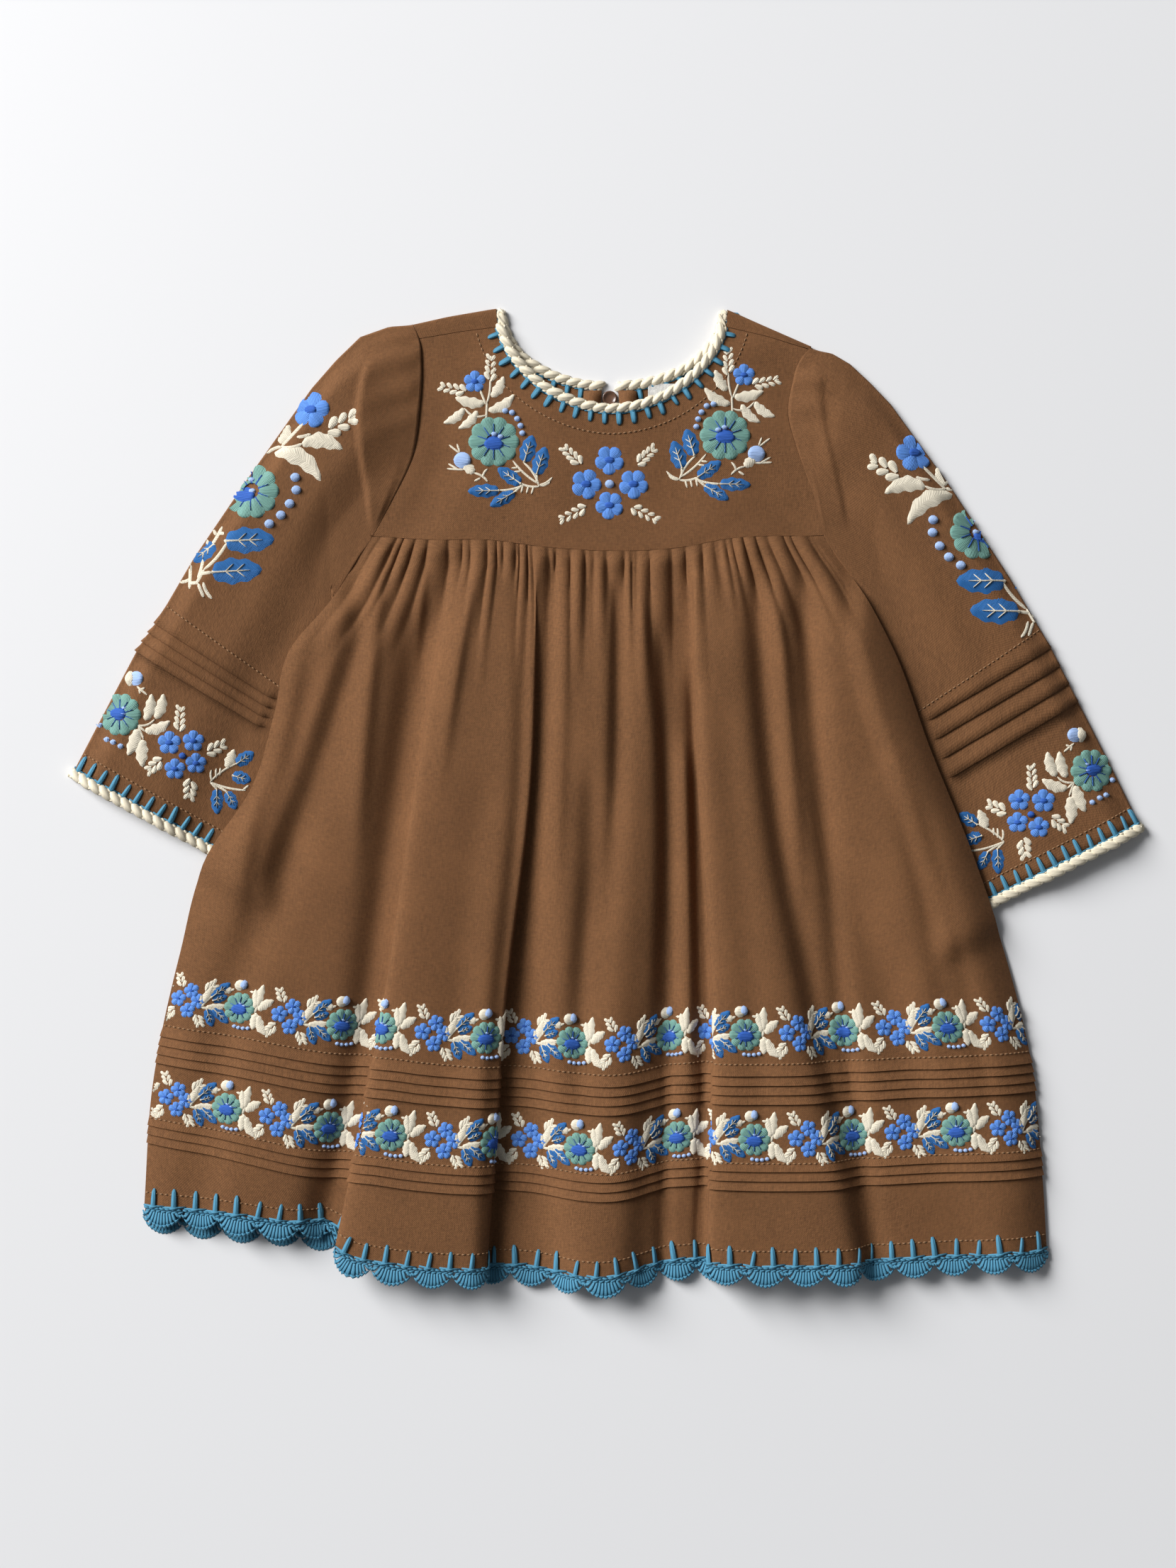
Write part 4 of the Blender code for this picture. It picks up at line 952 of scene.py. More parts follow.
def tube_shape(name, lines, sides=6):
    """Make one small shape from lines of (x, y, z, half width, half height), in millimetres."""
    points, faces, flat_map = [], [], []
    for line in lines:
        line = np.array(line, float)
        centres = line[:, :3]
        runs = np.gradient(centres, axis=0)
        runs /= np.linalg.norm(runs, axis=1, keepdims=True) + 1e-9
        side = np.stack([-runs[:, 1], runs[:, 0], np.zeros(len(runs))], axis=-1)
        side[np.linalg.norm(side, axis=1) < 0.2] = (0, 1, 0)
        side /= np.linalg.norm(side, axis=1, keepdims=True)
        up = np.cross(runs, side)
        angle = np.arange(sides) * 2 * np.pi / sides
        ring = (centres[:, None] + side[:, None] * (np.cos(angle)[:, None] * line[:, None, 3:4])
                + up[:, None] * (np.sin(angle)[:, None] * line[:, None, 4:5]))
        index = np.arange(len(line) * sides).reshape(len(line), sides) + len(points) * 1
        low, high = index[:-1], index[1:]
        faces += np.stack([low, np.roll(low, -1, axis=1), np.roll(high, -1, axis=1), high],
                          axis=-1).reshape(-1, 4).tolist()
        faces += [index[0][::-1].tolist(), index[-1].tolist()]
        reach = np.concatenate([[0], np.cumsum(np.linalg.norm(np.diff(centres, axis=0), axis=1))])
        flat_map += np.stack([np.tile(angle / 2, len(line)), np.repeat(reach, sides)], axis=-1).tolist()
        points += ring.reshape(-1, 3).tolist()
    data = bpy.data.meshes.new(name)
    data.from_pydata((np.array(points) * MM).tolist(), [], faces)
    layer = data.uv_layers.new(name="cloth")
    corners = np.zeros(len(data.loops), np.int32)
    data.loops.foreach_get("vertex_index", corners)
    layer.data.foreach_set("uv", (np.array(flat_map)[corners] * MM).astype(np.float32).ravel())
    made = bpy.data.objects.new(name, data)
    bpy.context.scene.collection.objects.link(made)
    return made


def dash(length, width, height, x=0.0, y=0.0, z=0.0, angle=0.0):
    """Give the line of one stitch that comes out of the cloth and goes back in."""
    line = []
    for t, wide, rise in ((-0.5, 0.3, -0.6), (-0.38, 0.85, 0.4), (0.0, 1.0, 1.0), (0.38, 0.85, 0.4),
                          (0.5, 0.3, -0.6)):
        line.append((x + t * length * math.cos(angle), y + t * length * math.sin(angle), z + rise * height,
                     width / 2 * wide, height * 0.7 * wide))
    return line


# Pieces of cloth

SURFACES = {}


def tuck_levels(crest, pitch, drop):
    """List the rows of one tuck: its rising band, its overhanging edge and the shadowed foot under it."""
    return [(crest - 0.8 * pitch, 0.0, 0.0), (crest - 0.35 * pitch, 0.55, 0.0),
            (crest - 0.02 * pitch, TUCK_RISE, TUCK_SLIDE), (crest, 0.45 * TUCK_RISE, TUCK_SLIDE),
            (crest + drop, -0.1, -0.2)]


def skirt_levels():
    """List the skirt's rows with each tuck's height and overhang: close at the gathers and the tucks."""
    rows = [(v, 0.0, 0.0) for v in (*np.linspace(0, 0.055, 12), *np.linspace(0.065, 0.17, 12),
                                    *np.linspace(0.185, 0.718, 42))]
    for first, count in ((UPPER_TUCKS, UPPER_COUNT), (LOWER_TUCKS, LOWER_COUNT)):
        for k in range(count):
            rows += tuck_levels(first + TUCK_PITCH * k, TUCK_PITCH, TUCK_DROP)
        if first == UPPER_TUCKS:
            rows += [(v, 0.0, 0.0) for v in np.linspace(0.785, 0.85, 6)]
    return rows + [(v, 0.0, 0.0) for v in np.linspace(0.905, 1.0, 9)]


def across_rows(values, columns):
    """Repeat one value for each row across a panel's columns."""
    return np.repeat(np.array(values)[:, None], columns, axis=1)


def make_front_skirt(material):
    """Make the gathered front of the skirt with its folds, tucks and hem."""
    levels, rises, slides = (np.array(part) for part in zip(*skirt_levels()))
    points = np.array([front_row(skirt_places(v, SKIRT_FINENESS), v) for v in levels])
    relief = across_rows(rises, points.shape[1])
    slide = across_rows(slides, points.shape[1])
    made = cloth_object("front_skirt_cloth", points, material, relief=relief, slide=slide)
    SURFACES["front_skirt"] = grid_surface(points, relief, levels)
    return finish_piece(made, ["front_skirt"])


def make_back_skirt(material):
    """Make the back of the skirt, which lies under the front and on the floor."""
    levels, rises, slides = (np.array(part) for part in zip(*skirt_levels()))
    a = np.linspace(0, 1, BACK_FINENESS + 1)
    points = np.array([back_skirt_row(a, v) for v in levels])[:, ::-1]
    relief = across_rows(rises * BACK_TUCK_SHARE, points.shape[1])
    slide = across_rows(slides, points.shape[1])
    made = cloth_object("back_skirt_cloth", points, material, relief=relief, slide=slide)
    SURFACES["back_skirt"] = grid_surface(points, relief, levels)
    return finish_piece(made, ["back_skirt"])


def grid_surface(points, relief, levels):
    """Keep a panel's points, normals and levels, to lay stitches on it later."""
    down = np.gradient(points, axis=0)
    across = np.gradient(points, axis=1)
    normals = np.cross(down, across)
    normals /= np.linalg.norm(normals, axis=2, keepdims=True) + 1e-9
    raised = THIN / 2 + (0 if relief is None else relief[..., None])
    return {"points": points + normals * raised, "normals": normals, "levels": np.array(levels)}


def read_grid(surface, columns, levels, lift):
    """Read places on a panel at fractions of its columns and at its levels, lifted off it."""
    rows = np.interp(levels, surface["levels"], np.arange(len(surface["levels"])))
    last = np.array(surface["points"].shape[:2]) - 2
    r = np.clip(rows.astype(int), 0, last[0])
    c = np.clip(columns.astype(int), 0, last[1])
    fr, fc = (rows - r)[..., None], (columns - c)[..., None]
    result = []
    for values in (surface["points"], surface["normals"]):
        upper = values[r, c] * (1 - fc) + values[r, c + 1] * fc
        lower = values[r + 1, c] * (1 - fc) + values[r + 1, c + 1] * fc
        result.append(upper * (1 - fr) + lower * fr)
    return result[0] + result[1] * lift[..., None]


def make_front_yoke(material):
    """Make the front yoke between the shoulder seams, the neck, the armholes and the skirt."""
    end = neck_ends()
    left_top = along(SHOULDER_SEAM_LEFT, np.linspace(0, 1, SHOULDER_FINENESS + 1))
    right_top = along(SHOULDER_SEAM_RIGHT, np.linspace(0, 1, SHOULDER_FINENESS + 1))
    neck = neck_point(NECK_FRONT, np.linspace(end, 1 - end, 2 * NECK_FINENESS + 1))
    top = np.concatenate([left_top[:-1], neck, right_top[1:]])
    top[:SHOULDER_FINENESS + 1, 1] -= SEAM / 2
    top[-SHOULDER_FINENESS - 1:, 1] -= SEAM / 2
    left = armhole_line(ARMHOLE_LEFT, armhole_rows(SHOULDER_SEAM_LEFT, ARMHOLE_LEFT))
    right = armhole_line(ARMHOLE_RIGHT, armhole_rows(SHOULDER_SEAM_RIGHT, ARMHOLE_RIGHT))
    bottom = seam_line(left[-1][0], right[-1][0], len(top))
    left[0], right[0] = top[0], top[-1]
    left[-1], right[-1] = bottom[0], bottom[-1]
    flat = coons(top, bottom, left, right, YOKE_ROWS)
    x, y = flat[..., 0], flat[..., 1]
    inside = ease(np.minimum(x - edge_x(ARMHOLE_LEFT, y), edge_x(ARMHOLE_RIGHT, y) - x) / 16)
    inside = inside * ease((y - seam_y(x)) / 14) * ease((262 - y) / 8)
    z = yoke_level(x, y) + YOKE_WAVE * soft_waves(x, y) * inside
    points = np.concatenate([flat, z[..., None]], axis=-1)
    made = cloth_object("front_yoke_cloth", points, material, flat=flat)
    SURFACES["neck_front"] = points[0, SHOULDER_FINENESS:-SHOULDER_FINENESS]
    SURFACES["neck_front_inset"] = points[3, SHOULDER_FINENESS:-SHOULDER_FINENESS]
    SURFACES["seam_front"] = points[-1]
    return finish_piece(made, ["front_yoke"])


def keyhole_edge(y, side):
    """Give the x of the edge of the back opening at the height y, on its left or right side."""
    return KEYHOLE_X + side * smooth_curve(-np.array(KEYHOLE["y"]), KEYHOLE["half"], -np.asarray(y))


def make_back_yoke(side, material):
    """Make one half of the back yoke, which wraps forward over its shoulder to the front seam."""
    hole = ARMHOLE_LEFT if side < 0 else ARMHOLE_RIGHT
    seam = SHOULDER_SEAM_LEFT if side < 0 else SHOULDER_SEAM_RIGHT
    fold = SHOULDER_FOLD_LEFT if side < 0 else SHOULDER_FOLD_RIGHT
    shoulder = SHOULDER_FINENESS
    steps = NECK_FINENESS
    front = along(seam, np.linspace(0, 1, shoulder + 1)) + np.array([0, SEAM / 2])
    crest = along(fold, np.linspace(0, 1, shoulder + 1))
    key_reach = side * (keyhole_edge(KEYHOLE["y"][0], side) - NECK_CENTRE[0]) / NECK_BACK["across"]
    key_turn = 0.5 + side * math.asin(key_reach ** (NECK_BACK["power"] / 2)) / math.pi
    high_turn = NECK_START if side < 0 else 1 - NECK_START
    turns = np.linspace(min(high_turn, key_turn), max(high_turn, key_turn), steps)
    neck = neck_point(NECK_BACK, turns)
    depth = crest[:, 1] - front[:, 1]
    radius = np.minimum(SHOULDER_RADIUS, 0.5 * depth)
    back = crest - np.stack([np.zeros_like(radius), radius], axis=-1)
    tip = 0 if side < 0 else -1
    for line in (front, crest, back):
        line[tip, 0] = edge_x(hole, line[tip, 1])
    top = np.concatenate([back, neck]) if side < 0 else np.concatenate([neck, back])
    heights = np.concatenate([[top[0][1] if side < 0 else top[-1][1]], armhole_rows(seam, hole)])
    heights = np.unique(heights)[::-1]
    arm = armhole_line(hole, heights)
    inner_top = neck[-1] if side < 0 else neck[0]
    rows = (heights[0] - heights) / (heights[0] - heights[-1])
    floor = seam_y(KEYHOLE_X) + SEAM / 2
    key_y = inner_top[1] + (floor - inner_top[1]) * rows
    key = np.stack([keyhole_edge(key_y, side), key_y], axis=-1)
    key[0] = inner_top
    ends = (arm[-1][0], key[-1][0]) if side < 0 else (key[-1][0], arm[-1][0])
    bottom = seam_line(ends[0], ends[1], len(top))
    left, right = (arm, key) if side < 0 else (key, arm)
    left[0], right[0] = top[0], top[-1]
    left[-1], right[-1] = bottom[0], bottom[-1]
    flat = coons(top, bottom, left, right, rows)
    body = np.concatenate([flat, np.full(flat.shape[:2] + (1,), FLOOR_LEVEL)], axis=-1)

    bend = np.linspace(0, np.pi, SHOULDER_BEND + 1)
    columns = slice(0, shoulder + 1) if side < 0 else slice(len(top) - shoulder - 1, len(top))
    strip = np.zeros((SHOULDER_BEND + 3, len(top), 3))
    strip[:] = body[0]
    middle, half = (FRONT_LEVEL + FLOOR_LEVEL) / 2, (FRONT_LEVEL - FLOOR_LEVEL) / 2
    for row, share in enumerate((0.0, 0.5)):
        flat_row = front + (back - front) * share
        strip[row, columns] = np.column_stack([flat_row, np.full(shoulder + 1, FRONT_LEVEL)])
    for row, angle in enumerate(bend):
        turned = back + (crest - back) * math.sin(angle)
        level = np.full(shoulder + 1, middle + half * math.cos(angle))
        strip[2 + row, columns] = np.column_stack([turned, level])
    points = np.concatenate([strip, body[1:]])
    fold_rows = SHOULDER_BEND + 2
    hidden = np.zeros((len(points) - 1, len(top) - 1), bool)
    if side < 0:
        hidden[:fold_rows, shoulder:] = True
    else:
        hidden[:fold_rows, :steps] = True
    name = "left" if side < 0 else "right"
    made = cloth_object("back_yoke_cloth_" + name, points, material, hidden=hidden)
    edge = shoulder if side < 0 else steps
    wrap = points[0:fold_rows + 1, edge]
    turned_up = np.array([[0, 0, -1.0]] * 2 + [[0, -math.sin(angle), -math.cos(angle)] for angle in bend])
    level_up = np.tile([0.0, 0.0, 1.0], (len(neck), 1))
    if side < 0:
        SURFACES["neck_back_left"] = np.concatenate([wrap, points[fold_rows, edge + 1:]])
        SURFACES["neck_back_left_up"] = np.concatenate([turned_up, level_up])
    else:
        SURFACES["neck_back_right"] = np.concatenate([points[fold_rows, :edge], wrap[::-1]])
        SURFACES["neck_back_right_up"] = np.concatenate([level_up, turned_up[::-1]])
    return finish_piece(made, ["back_yoke_" + name])


def sleeve_relief(place, ring, upper, x, y, side):
    """Give the height of a sleeve's gathers at its cap, its creases and the fold beside its seam."""
    fade = ease(place / 0.5) * ease(1 - place / 3.2)
    cap = 0.7 * np.sin(ring * 46.0 + 0.8 * np.sin(ring * 9.0)) * fade * ease((0.62 - ring) / 0.3)
    drape = 0.7 * np.sin(ring * 7.5 + place * 0.9) * np.sin(place * 1.7 + ring * 3.1)
    middle = ease(place / 2.0) * ease((10.0 - place) / 1.2)
    within = ease(ring / 0.1) * ease((SLEEVE_HIDDEN - ring) / 0.12)
    fold = SLEEVE_FOLDS[side]
    inside = (smooth_curve(-np.array(fold["y"]), fold["x"], -y) - x) * side
    ends = ease((fold["y"][0] - y) / 16) * ease((y - fold["y"][-1]) / 20)
    roll = fold["rise"] * ease((inside + 1.5) / 3.0) * np.exp(-np.maximum(inside, 0) / 16) * ends
    total = (cap + drape * middle) * within + roll * ease(place / 0.6) * ease(ring / 0.05)
    return np.where(upper == 1, total, 0.0)


def sleeve_levels():
    """List the rows of a sleeve down its table, close together at its tucks, with each tuck's height."""
    rows = [(p, 0.0, 0.0) for p in (*np.linspace(0, 4.4, 34), *np.linspace(4.55, 6.65, 22))]
    for k in range(SLEEVE_TUCKS):
        crest = SLEEVE_FIRST_TUCK + k / (SLEEVE_TUCKS - 1)
        rows += tuck_levels(crest, 1 / (SLEEVE_TUCKS - 1), 0.03)
    return rows + [(p, 0.0, 0.0) for p in np.linspace(8.2, 10.0, 14)]


def make_sleeve(name, material):
    """Make a sleeve as one flattened tube, its upper layer puffed and its inner strip flat."""
    left = name == "left"
    table = np.array(SLEEVE_LEFT if left else SLEEVE_RIGHT)
    hole = ARMHOLE_LEFT if left else ARMHOLE_RIGHT
    side = -1 if left else 1
    t = np.linspace(0.02, 0.98, SLEEVE_FINENESS)
    stops = t - 0.7 * np.sin(2 * np.pi * t) / (2 * np.pi)
    ring = np.concatenate([[0.0], stops, [1.0], stops[::-1]])
    upper = np.concatenate([[0.5], np.ones(len(stops)), [0.5], np.zeros(len(stops))])
    index = np.arange(len(table))
    points, relief, slide = [], [], []
    for place, tuck, overhang in sleeve_levels():
        values = [np.interp(place, index, table[:, 0]), np.interp(place, index, table[:, 1])]
        values += [np.interp(place, index, table[:, k]) for k in range(2, 6)]
        section = dict(zip(SLEEVE_COLUMNS, values))
        outer = np.array([section["outer_x"], section["outer_y"]])
        inner = np.array([section["inner_x"], section["inner_y"]])
        flat = outer + (inner - outer) * ring[:, None]
        flat[:, 0] -= side * section["bow"] * 4 * ring * (1 - ring)
        if place < 1:
            edge = edge_x(hole, flat[:, 1]) + side * (ARMHOLE_GAP + UNDERARM_GAP * (ring == 1))
            flat[:, 0] = edge + (flat[:, 0] - edge) * place if place > 0 else edge
        tucked = UNDER_SKIRT * (ring > 0.97) * ease((place - 0.4) / 0.6) * ease((6.5 - place) / 1.5)
        flat[:, 0] -= side * tucked
        puff = section["puff"] * ease(ring / PUFF_START) * ease((SLEEVE_HIDDEN - ring) / PUFF_END)
        z = FLOOR_LEVEL + (SLEEVE_GAP + puff * (upper == 1)) * upper
        z = z + sleeve_relief(place, ring, upper, flat[:, 0], flat[:, 1], side)
        points.append(np.column_stack([flat, z]))
        shown = (upper == 1) * ease((SLEEVE_HIDDEN + 0.08 - ring) / 0.06)
        relief.append(tuck * shown * (1.5 if left else 0.65))
        slide.append(overhang * shown * (1.2 if left else 0.7))
    points, relief, slide = np.array(points), np.array(relief), np.array(slide)
    if not left:
        points, relief, slide = points[:, ::-1], relief[:, ::-1], slide[:, ::-1]
    around = np.linalg.norm(np.roll(points, -1, axis=1) - points, axis=2)
    around = np.cumsum(around, axis=1) - around
    downward = np.cumsum(np.linalg.norm(np.diff(points, axis=0, prepend=points[:1]), axis=2), axis=0)
    flat_map = np.stack([around, -downward], axis=-1)
    made = cloth_object("sleeve_cloth_" + name, points, material, ring=True, relief=relief, slide=slide,
                        flat=flat_map)
    SURFACES["cuff_" + name] = points[-1]
    surface = grid_surface(points, relief, [level for level, _, _ in sleeve_levels()])
    order = upper if left else upper[::-1]
    across = ring if left else ring[::-1]
    surface["shown"] = (order == 1) & (across < SLEEVE_HIDDEN + 0.1)
    SURFACES["sleeve_" + name] = surface
    return finish_piece(made, ["sleeve_" + name])


def make_flat_piece(name, left, right, rows, level, wall, material, replaces, curl=0.0):
    """Make a strip of cloth between two edges, given as an x at each row, puffed up at its top by curl."""
    across = np.linspace(0, 1, STRIP_COLUMNS)
    points = []
    for y, start, end in zip(rows, left, right):
        x = start + (end - start) * across
        near_top = ease((rows[0] + 0.5 - y) / 3.0) * ease((y - rows[0] + 24) / 14)
        rise = curl * np.sin(np.pi * across) ** 0.8 * near_top
        points.append(np.column_stack([x, np.full(STRIP_COLUMNS, y), level + rise]))
    made = cloth_object(name, np.array(points), material, wall=wall)
    return finish_piece(made, replaces)


# Crochet, stitches, label and button


def braid_shape(pitch, width):
    """Make one puff of the cream crochet braid: plump slanted strands that overlap into a cord."""
    lines = []
    for reach, low, high, thick, level in ((0.74, 0.14, 0.72, 0.36, 0.55), (0.5, 0.8, 0.15, 0.17, 0.0)):
        line = []
        for t, wide, rise in ((-1.0, 0.35, -0.5), (-0.7, 0.8, 0.4), (-0.3, 1.0, 1.0), (0.2, 1.0, 1.0),
                              (0.65, 0.8, 0.4), (1.0, 0.4, -0.4)):
            line.append((reach * pitch * t, width * (low + (high - low) * (t + 1) / 2) - 0.5,
                         level + 0.7 * rise, width * thick * wide, 0.24 * width * wide))
        lines.append(line)
    for x in (-0.25 * pitch, 0.25 * pitch):
        lines.append(dash(0.55 * pitch, 1.5, 0.8, x=x, y=0.1, z=0.5, angle=0.25))
    return tube_shape("braid_puff", lines, sides=8)


def shell_shape(pitch, depth, notch):
    """Make one shell of the hem edging: stitches that fan out from a chain to a scalloped rim."""
    half = pitch / 2
    lines = []
    spokes = 11
    for k in range(spokes):
        t = -1 + 2 * k / (spokes - 1)
        reach = notch * 0.86 + (depth - notch * 0.86) * math.cos(t * math.pi / 2) ** 0.7
        tip_x = t * half * 0.95
        start_x = t * half * 0.62
        lines.append([(start_x, 0.6, 0.0, 0.6, 0.4),
                      (start_x * 0.8 + tip_x * 0.2, reach * 0.35, 0.45, 0.95, 0.65),
                      (start_x * 0.4 + tip_x * 0.6, reach * 0.7, 0.55, 1.15, 0.75),
                      (tip_x, reach * 0.93, 0.3, 1.0, 0.6)])
        lines.append([(tip_x - 1.5, reach - 1.3 - abs(t), 0.1, 0.4, 0.4),
                      (tip_x, reach - 0.6, 0.8, 1.05, 0.8),
                      (tip_x + 1.5, reach - 1.3 - abs(t), 0.1, 0.4, 0.4)])
    for x in np.linspace(-half, half, 8)[:-1] + half / 7:
        lines.append(dash(3.6, 1.6, 0.6, x=x, y=0.4, z=0.4, angle=0.25))
        lines.append(dash(3.4, 1.3, 0.5, x=x + 1.2, y=1.8, z=0.4, angle=-0.25))
    return tube_shape("hem_shell", lines, sides=5)


def blanket_shape(pitch, tall, width):
    """Make one blanket stitch: a tapered leg on the cloth and the thread along its edge."""
    leg = [(0, -0.6, 0.3, 0.45 * width, 0.4), (0, 0.12 * tall, 0.75, 0.5 * width, 0.6),
           (0.1, 0.55 * tall, 0.75, 0.46 * width, 0.6), (0.1, 0.85 * tall, 0.6, 0.38 * width, 0.5),
           (0.1, tall, 0.0, 0.2 * width, 0.3)]
    edge = [(-0.5 * pitch, 0.9, 0.2, 0.5, 0.4), (0, 0.5, 0.6, 0.75, 0.5), (0.5 * pitch, 0.9, 0.2, 0.5, 0.4)]
    knot = dash(0.42 * pitch, 1.4, 0.7, y=0.4, z=0.5, angle=0.12)
    return tube_shape("blanket_stitch", [leg, edge, knot])


def stitch_shape(length, width, height):
    """Make one stitch of a machine-sewn seam."""
    return tube_shape("stitch", [dash(length, width, height)], sides=5)


def smooth_line(points, pitch):
    """Space a line's points evenly, a pitch apart."""
    steps = np.linalg.norm(np.diff(points, axis=0), axis=1)
    count = max(4, round(float(steps.sum()) / pitch))
    return along(points, np.linspace(0, 1, count + 1))


def neck_path(name, outward, lift):
    """Lay a path along a neck edge, its side pointing into the opening (1) or onto the cloth (-1)."""
    points = SURFACES[name]
    steps = np.linalg.norm(np.diff(points, axis=0), axis=1)
    reach = np.concatenate([[0.0], np.cumsum(steps)])
    at = np.linspace(0, reach[-1], max(4, round(reach[-1] / 1.5)) + 1)
    given = SURFACES.get(name + "_up", np.tile([0.0, 0.0, 1.0], (len(points), 1)))
    edge, up = (np.stack([np.interp(at, reach, values[:, k]) for k in range(3)], axis=-1)
                for values in (points, given))
    run = np.gradient(edge[:, :2], axis=0)
    side = np.stack([-run[:, 1], run[:, 0], np.zeros(len(run))], axis=-1)
    inward = np.array(NECK_CENTRE) - edge[:, :2]
    side[np.sum(side[:, :2] * inward, axis=1) < 0] *= -1
    return Path(edge + up * lift, side * outward, up=up)


def make_neck_braids(material):
    """Make the crochet braid that stands in the neck opening, in front and round the back."""
    for name in ("neck_front", "neck_back_left", "neck_back_right"):
        piece = repeat_along(name.replace("neck", "neck_braid"), braid_shape(BRAID_PITCH, BRAID_WIDTH),
                             neck_path(name, 1, THIN / 2 - 0.2), BRAID_PITCH, material, unevenness=0.04,
                             seed=3)
        finish_piece(piece, [name.replace("neck", "neck_trim")])


def cuff_path(name, points, outward, lift):
    """Lay a closed path round an open cuff, its side pointing away from or back onto the sleeve."""
    table = SLEEVE_LEFT if name == "left" else SLEEVE_RIGHT
    run = np.array(table[-1][2:4]) - np.array(table[-1][0:2])
    run = run / np.linalg.norm(run)
    away = np.array([run[1], -run[0], 0])
    away = -away if away[1] > 0 else away
    centre = points.mean(axis=0)
    ring = smooth_line(np.vstack([points, points[:1]]), 1.5)[:-1]
    out = ring - centre
    along_run = (out[:, :2] @ run)[:, None] * np.append(run, 0)
    out = out - along_run * CUFF_RUN_SHARE
    out /= np.linalg.norm(out, axis=1, keepdims=True)
    return Path(ring + out * lift, away * outward, up=out[:1] * 0 + np.vstack([out, out[:1]]), closed=True)


def make_cuff_braids(cream, blue):
    """Make the crochet braid and the blanket stitches round both cuffs."""
    for name in ("left", "right"):
        path = cuff_path(name, SURFACES["cuff_" + name], 1, 0.1)
        piece = repeat_along("cuff_braid_" + name, braid_shape(BRAID_PITCH, CUFF_BRAID), path, BRAID_PITCH,
                             cream, unevenness=0.04, seed=5)
        finish_piece(piece, ["cuff_trim_" + name])
        path = cuff_path(name, SURFACES["cuff_" + name], -1, THIN / 2)
        piece = repeat_along("cuff_stitches_" + name, blanket_shape(*CUFF_BLANKET), path,
                             CUFF_BLANKET[0], blue, unevenness=0.12, wobble=0.1, seed=6)
        finish_piece(piece)


def make_neck_stitches(material):
    """Make the blanket stitches round the neck, on the front and inside the back."""
    for name in ("neck_front", "neck_back_left", "neck_back_right"):
        piece = repeat_along(name.replace("neck", "neck_stitches"), blanket_shape(*NECK_BLANKET),
                             neck_path(name, -1, THIN / 2), NECK_BLANKET[0], material,
                             unevenness=0.1, wobble=0.08, seed=8)
        finish_piece(piece)


def hem_path(name, side, up, lift):
    """Lay a path along the hem of the front or back skirt."""
    surface = SURFACES[name]
    edge = surface["points"][-1] + surface["normals"][-1] * (lift - THIN / 2)
    edge = smooth_line(edge, 1.2)
    return Path(edge, side, up=up)


def make_hem_edging(material):
    """Make the scalloped crochet edging and the blanket stitches along the hem."""
    for name, up in (("front_skirt", (0, 0, 1)), ("back_skirt", (0, 0, -1))):
        short = name.split("_")[0]
        path = hem_path(name, (0, -1, 0), up, 0.0)
        piece = repeat_along("hem_edging_" + short, shell_shape(EDGING_PITCH, EDGING_DEPTH, EDGING_NOTCH),
                             path, EDGING_PITCH, material, unevenness=0.05, wobble=0.02, seed=9)
        finish_piece(piece, ["hem_trim_" + short])
        path = hem_path(name, (0, 1, 0), up, 0.35 if short == "front" else 0.1)
        piece = repeat_along("hem_stitches_" + short, blanket_shape(*HEM_BLANKET), path,
                             HEM_BLANKET[0], material, unevenness=0.14, wobble=0.12, seed=10)
        finish_piece(piece)


def make_label(cloth, pale):
    """Make the facings of the back opening and the bare label inside the neck."""
    inside = FLOOR_LEVEL + LAYER
    rows = np.linspace(*FACING_SPAN, FACING_ROWS)
    outer = np.full(FACING_ROWS, FACING_LEFT), np.full(FACING_ROWS, FACING_RIGHT)
    make_flat_piece("facing_cloth_left", outer[0], keyhole_edge(rows, -1), rows, inside, FACING_WALL,
                    cloth, ["keyhole_facing_left"], curl=FACING_CURL)
    make_flat_piece("facing_cloth_right", keyhole_edge(rows, 1), outer[1], rows, inside, FACING_WALL,
                    cloth, ["keyhole_facing_right"], curl=FACING_CURL)
    rows = np.linspace(*LABEL_SPAN, LABEL_ROWS)
    sides = [np.full(LABEL_ROWS, side) for side in LABEL_SIDES]
    made = make_flat_piece("label_cloth", sides[0], sides[1], rows, inside, LABEL_WALL, pale,
                           ["neck_label"])
    return made


def make_button(material):
    """Make the round button with its rim and its dished face."""
    profile = ((0.0, 1.55), (2.3, 1.55), (2.8, 1.85), (3.3, 2.25), (3.8, 2.3), (4.15, 2.05), (4.25, 1.5),
               (4.1, 0.8), (3.5, 0.35), (0.0, 0.3))
    turns = 40
    angle = np.arange(turns) * 2 * np.pi / turns
    rings = [np.stack([r * np.cos(angle), r * np.sin(angle), np.full(turns, z)], axis=-1)
             for r, z in profile[1:-1]]
    points = np.concatenate([[(0, 0, profile[0][1])], *rings, [(0, 0, profile[-1][1])]])
    points[:, :2] += BUTTON_PLACE
    index = 1 + np.arange(turns * len(rings)).reshape(len(rings), turns)
    near = np.roll(index, -1, axis=1)
    faces = [[0, index[0][k], near[0][k]] for k in range(turns)]
    for r in range(len(rings) - 1):
        faces += [[index[r][k], index[r + 1][k], near[r + 1][k], near[r][k]] for k in range(turns)]
    last = len(points) - 1
    faces += [[index[-1][k], last, near[-1][k]] for k in range(turns)]
    data = bpy.data.meshes.new("button_shell")
    data.from_pydata((points * MM).tolist(), [], faces)
    data.materials.append(material)
    data.shade_smooth()
    made = bpy.data.objects.new("button_shell", data)
    bpy.context.scene.collection.objects.link(made)
    return finish_piece(made, ["button"])


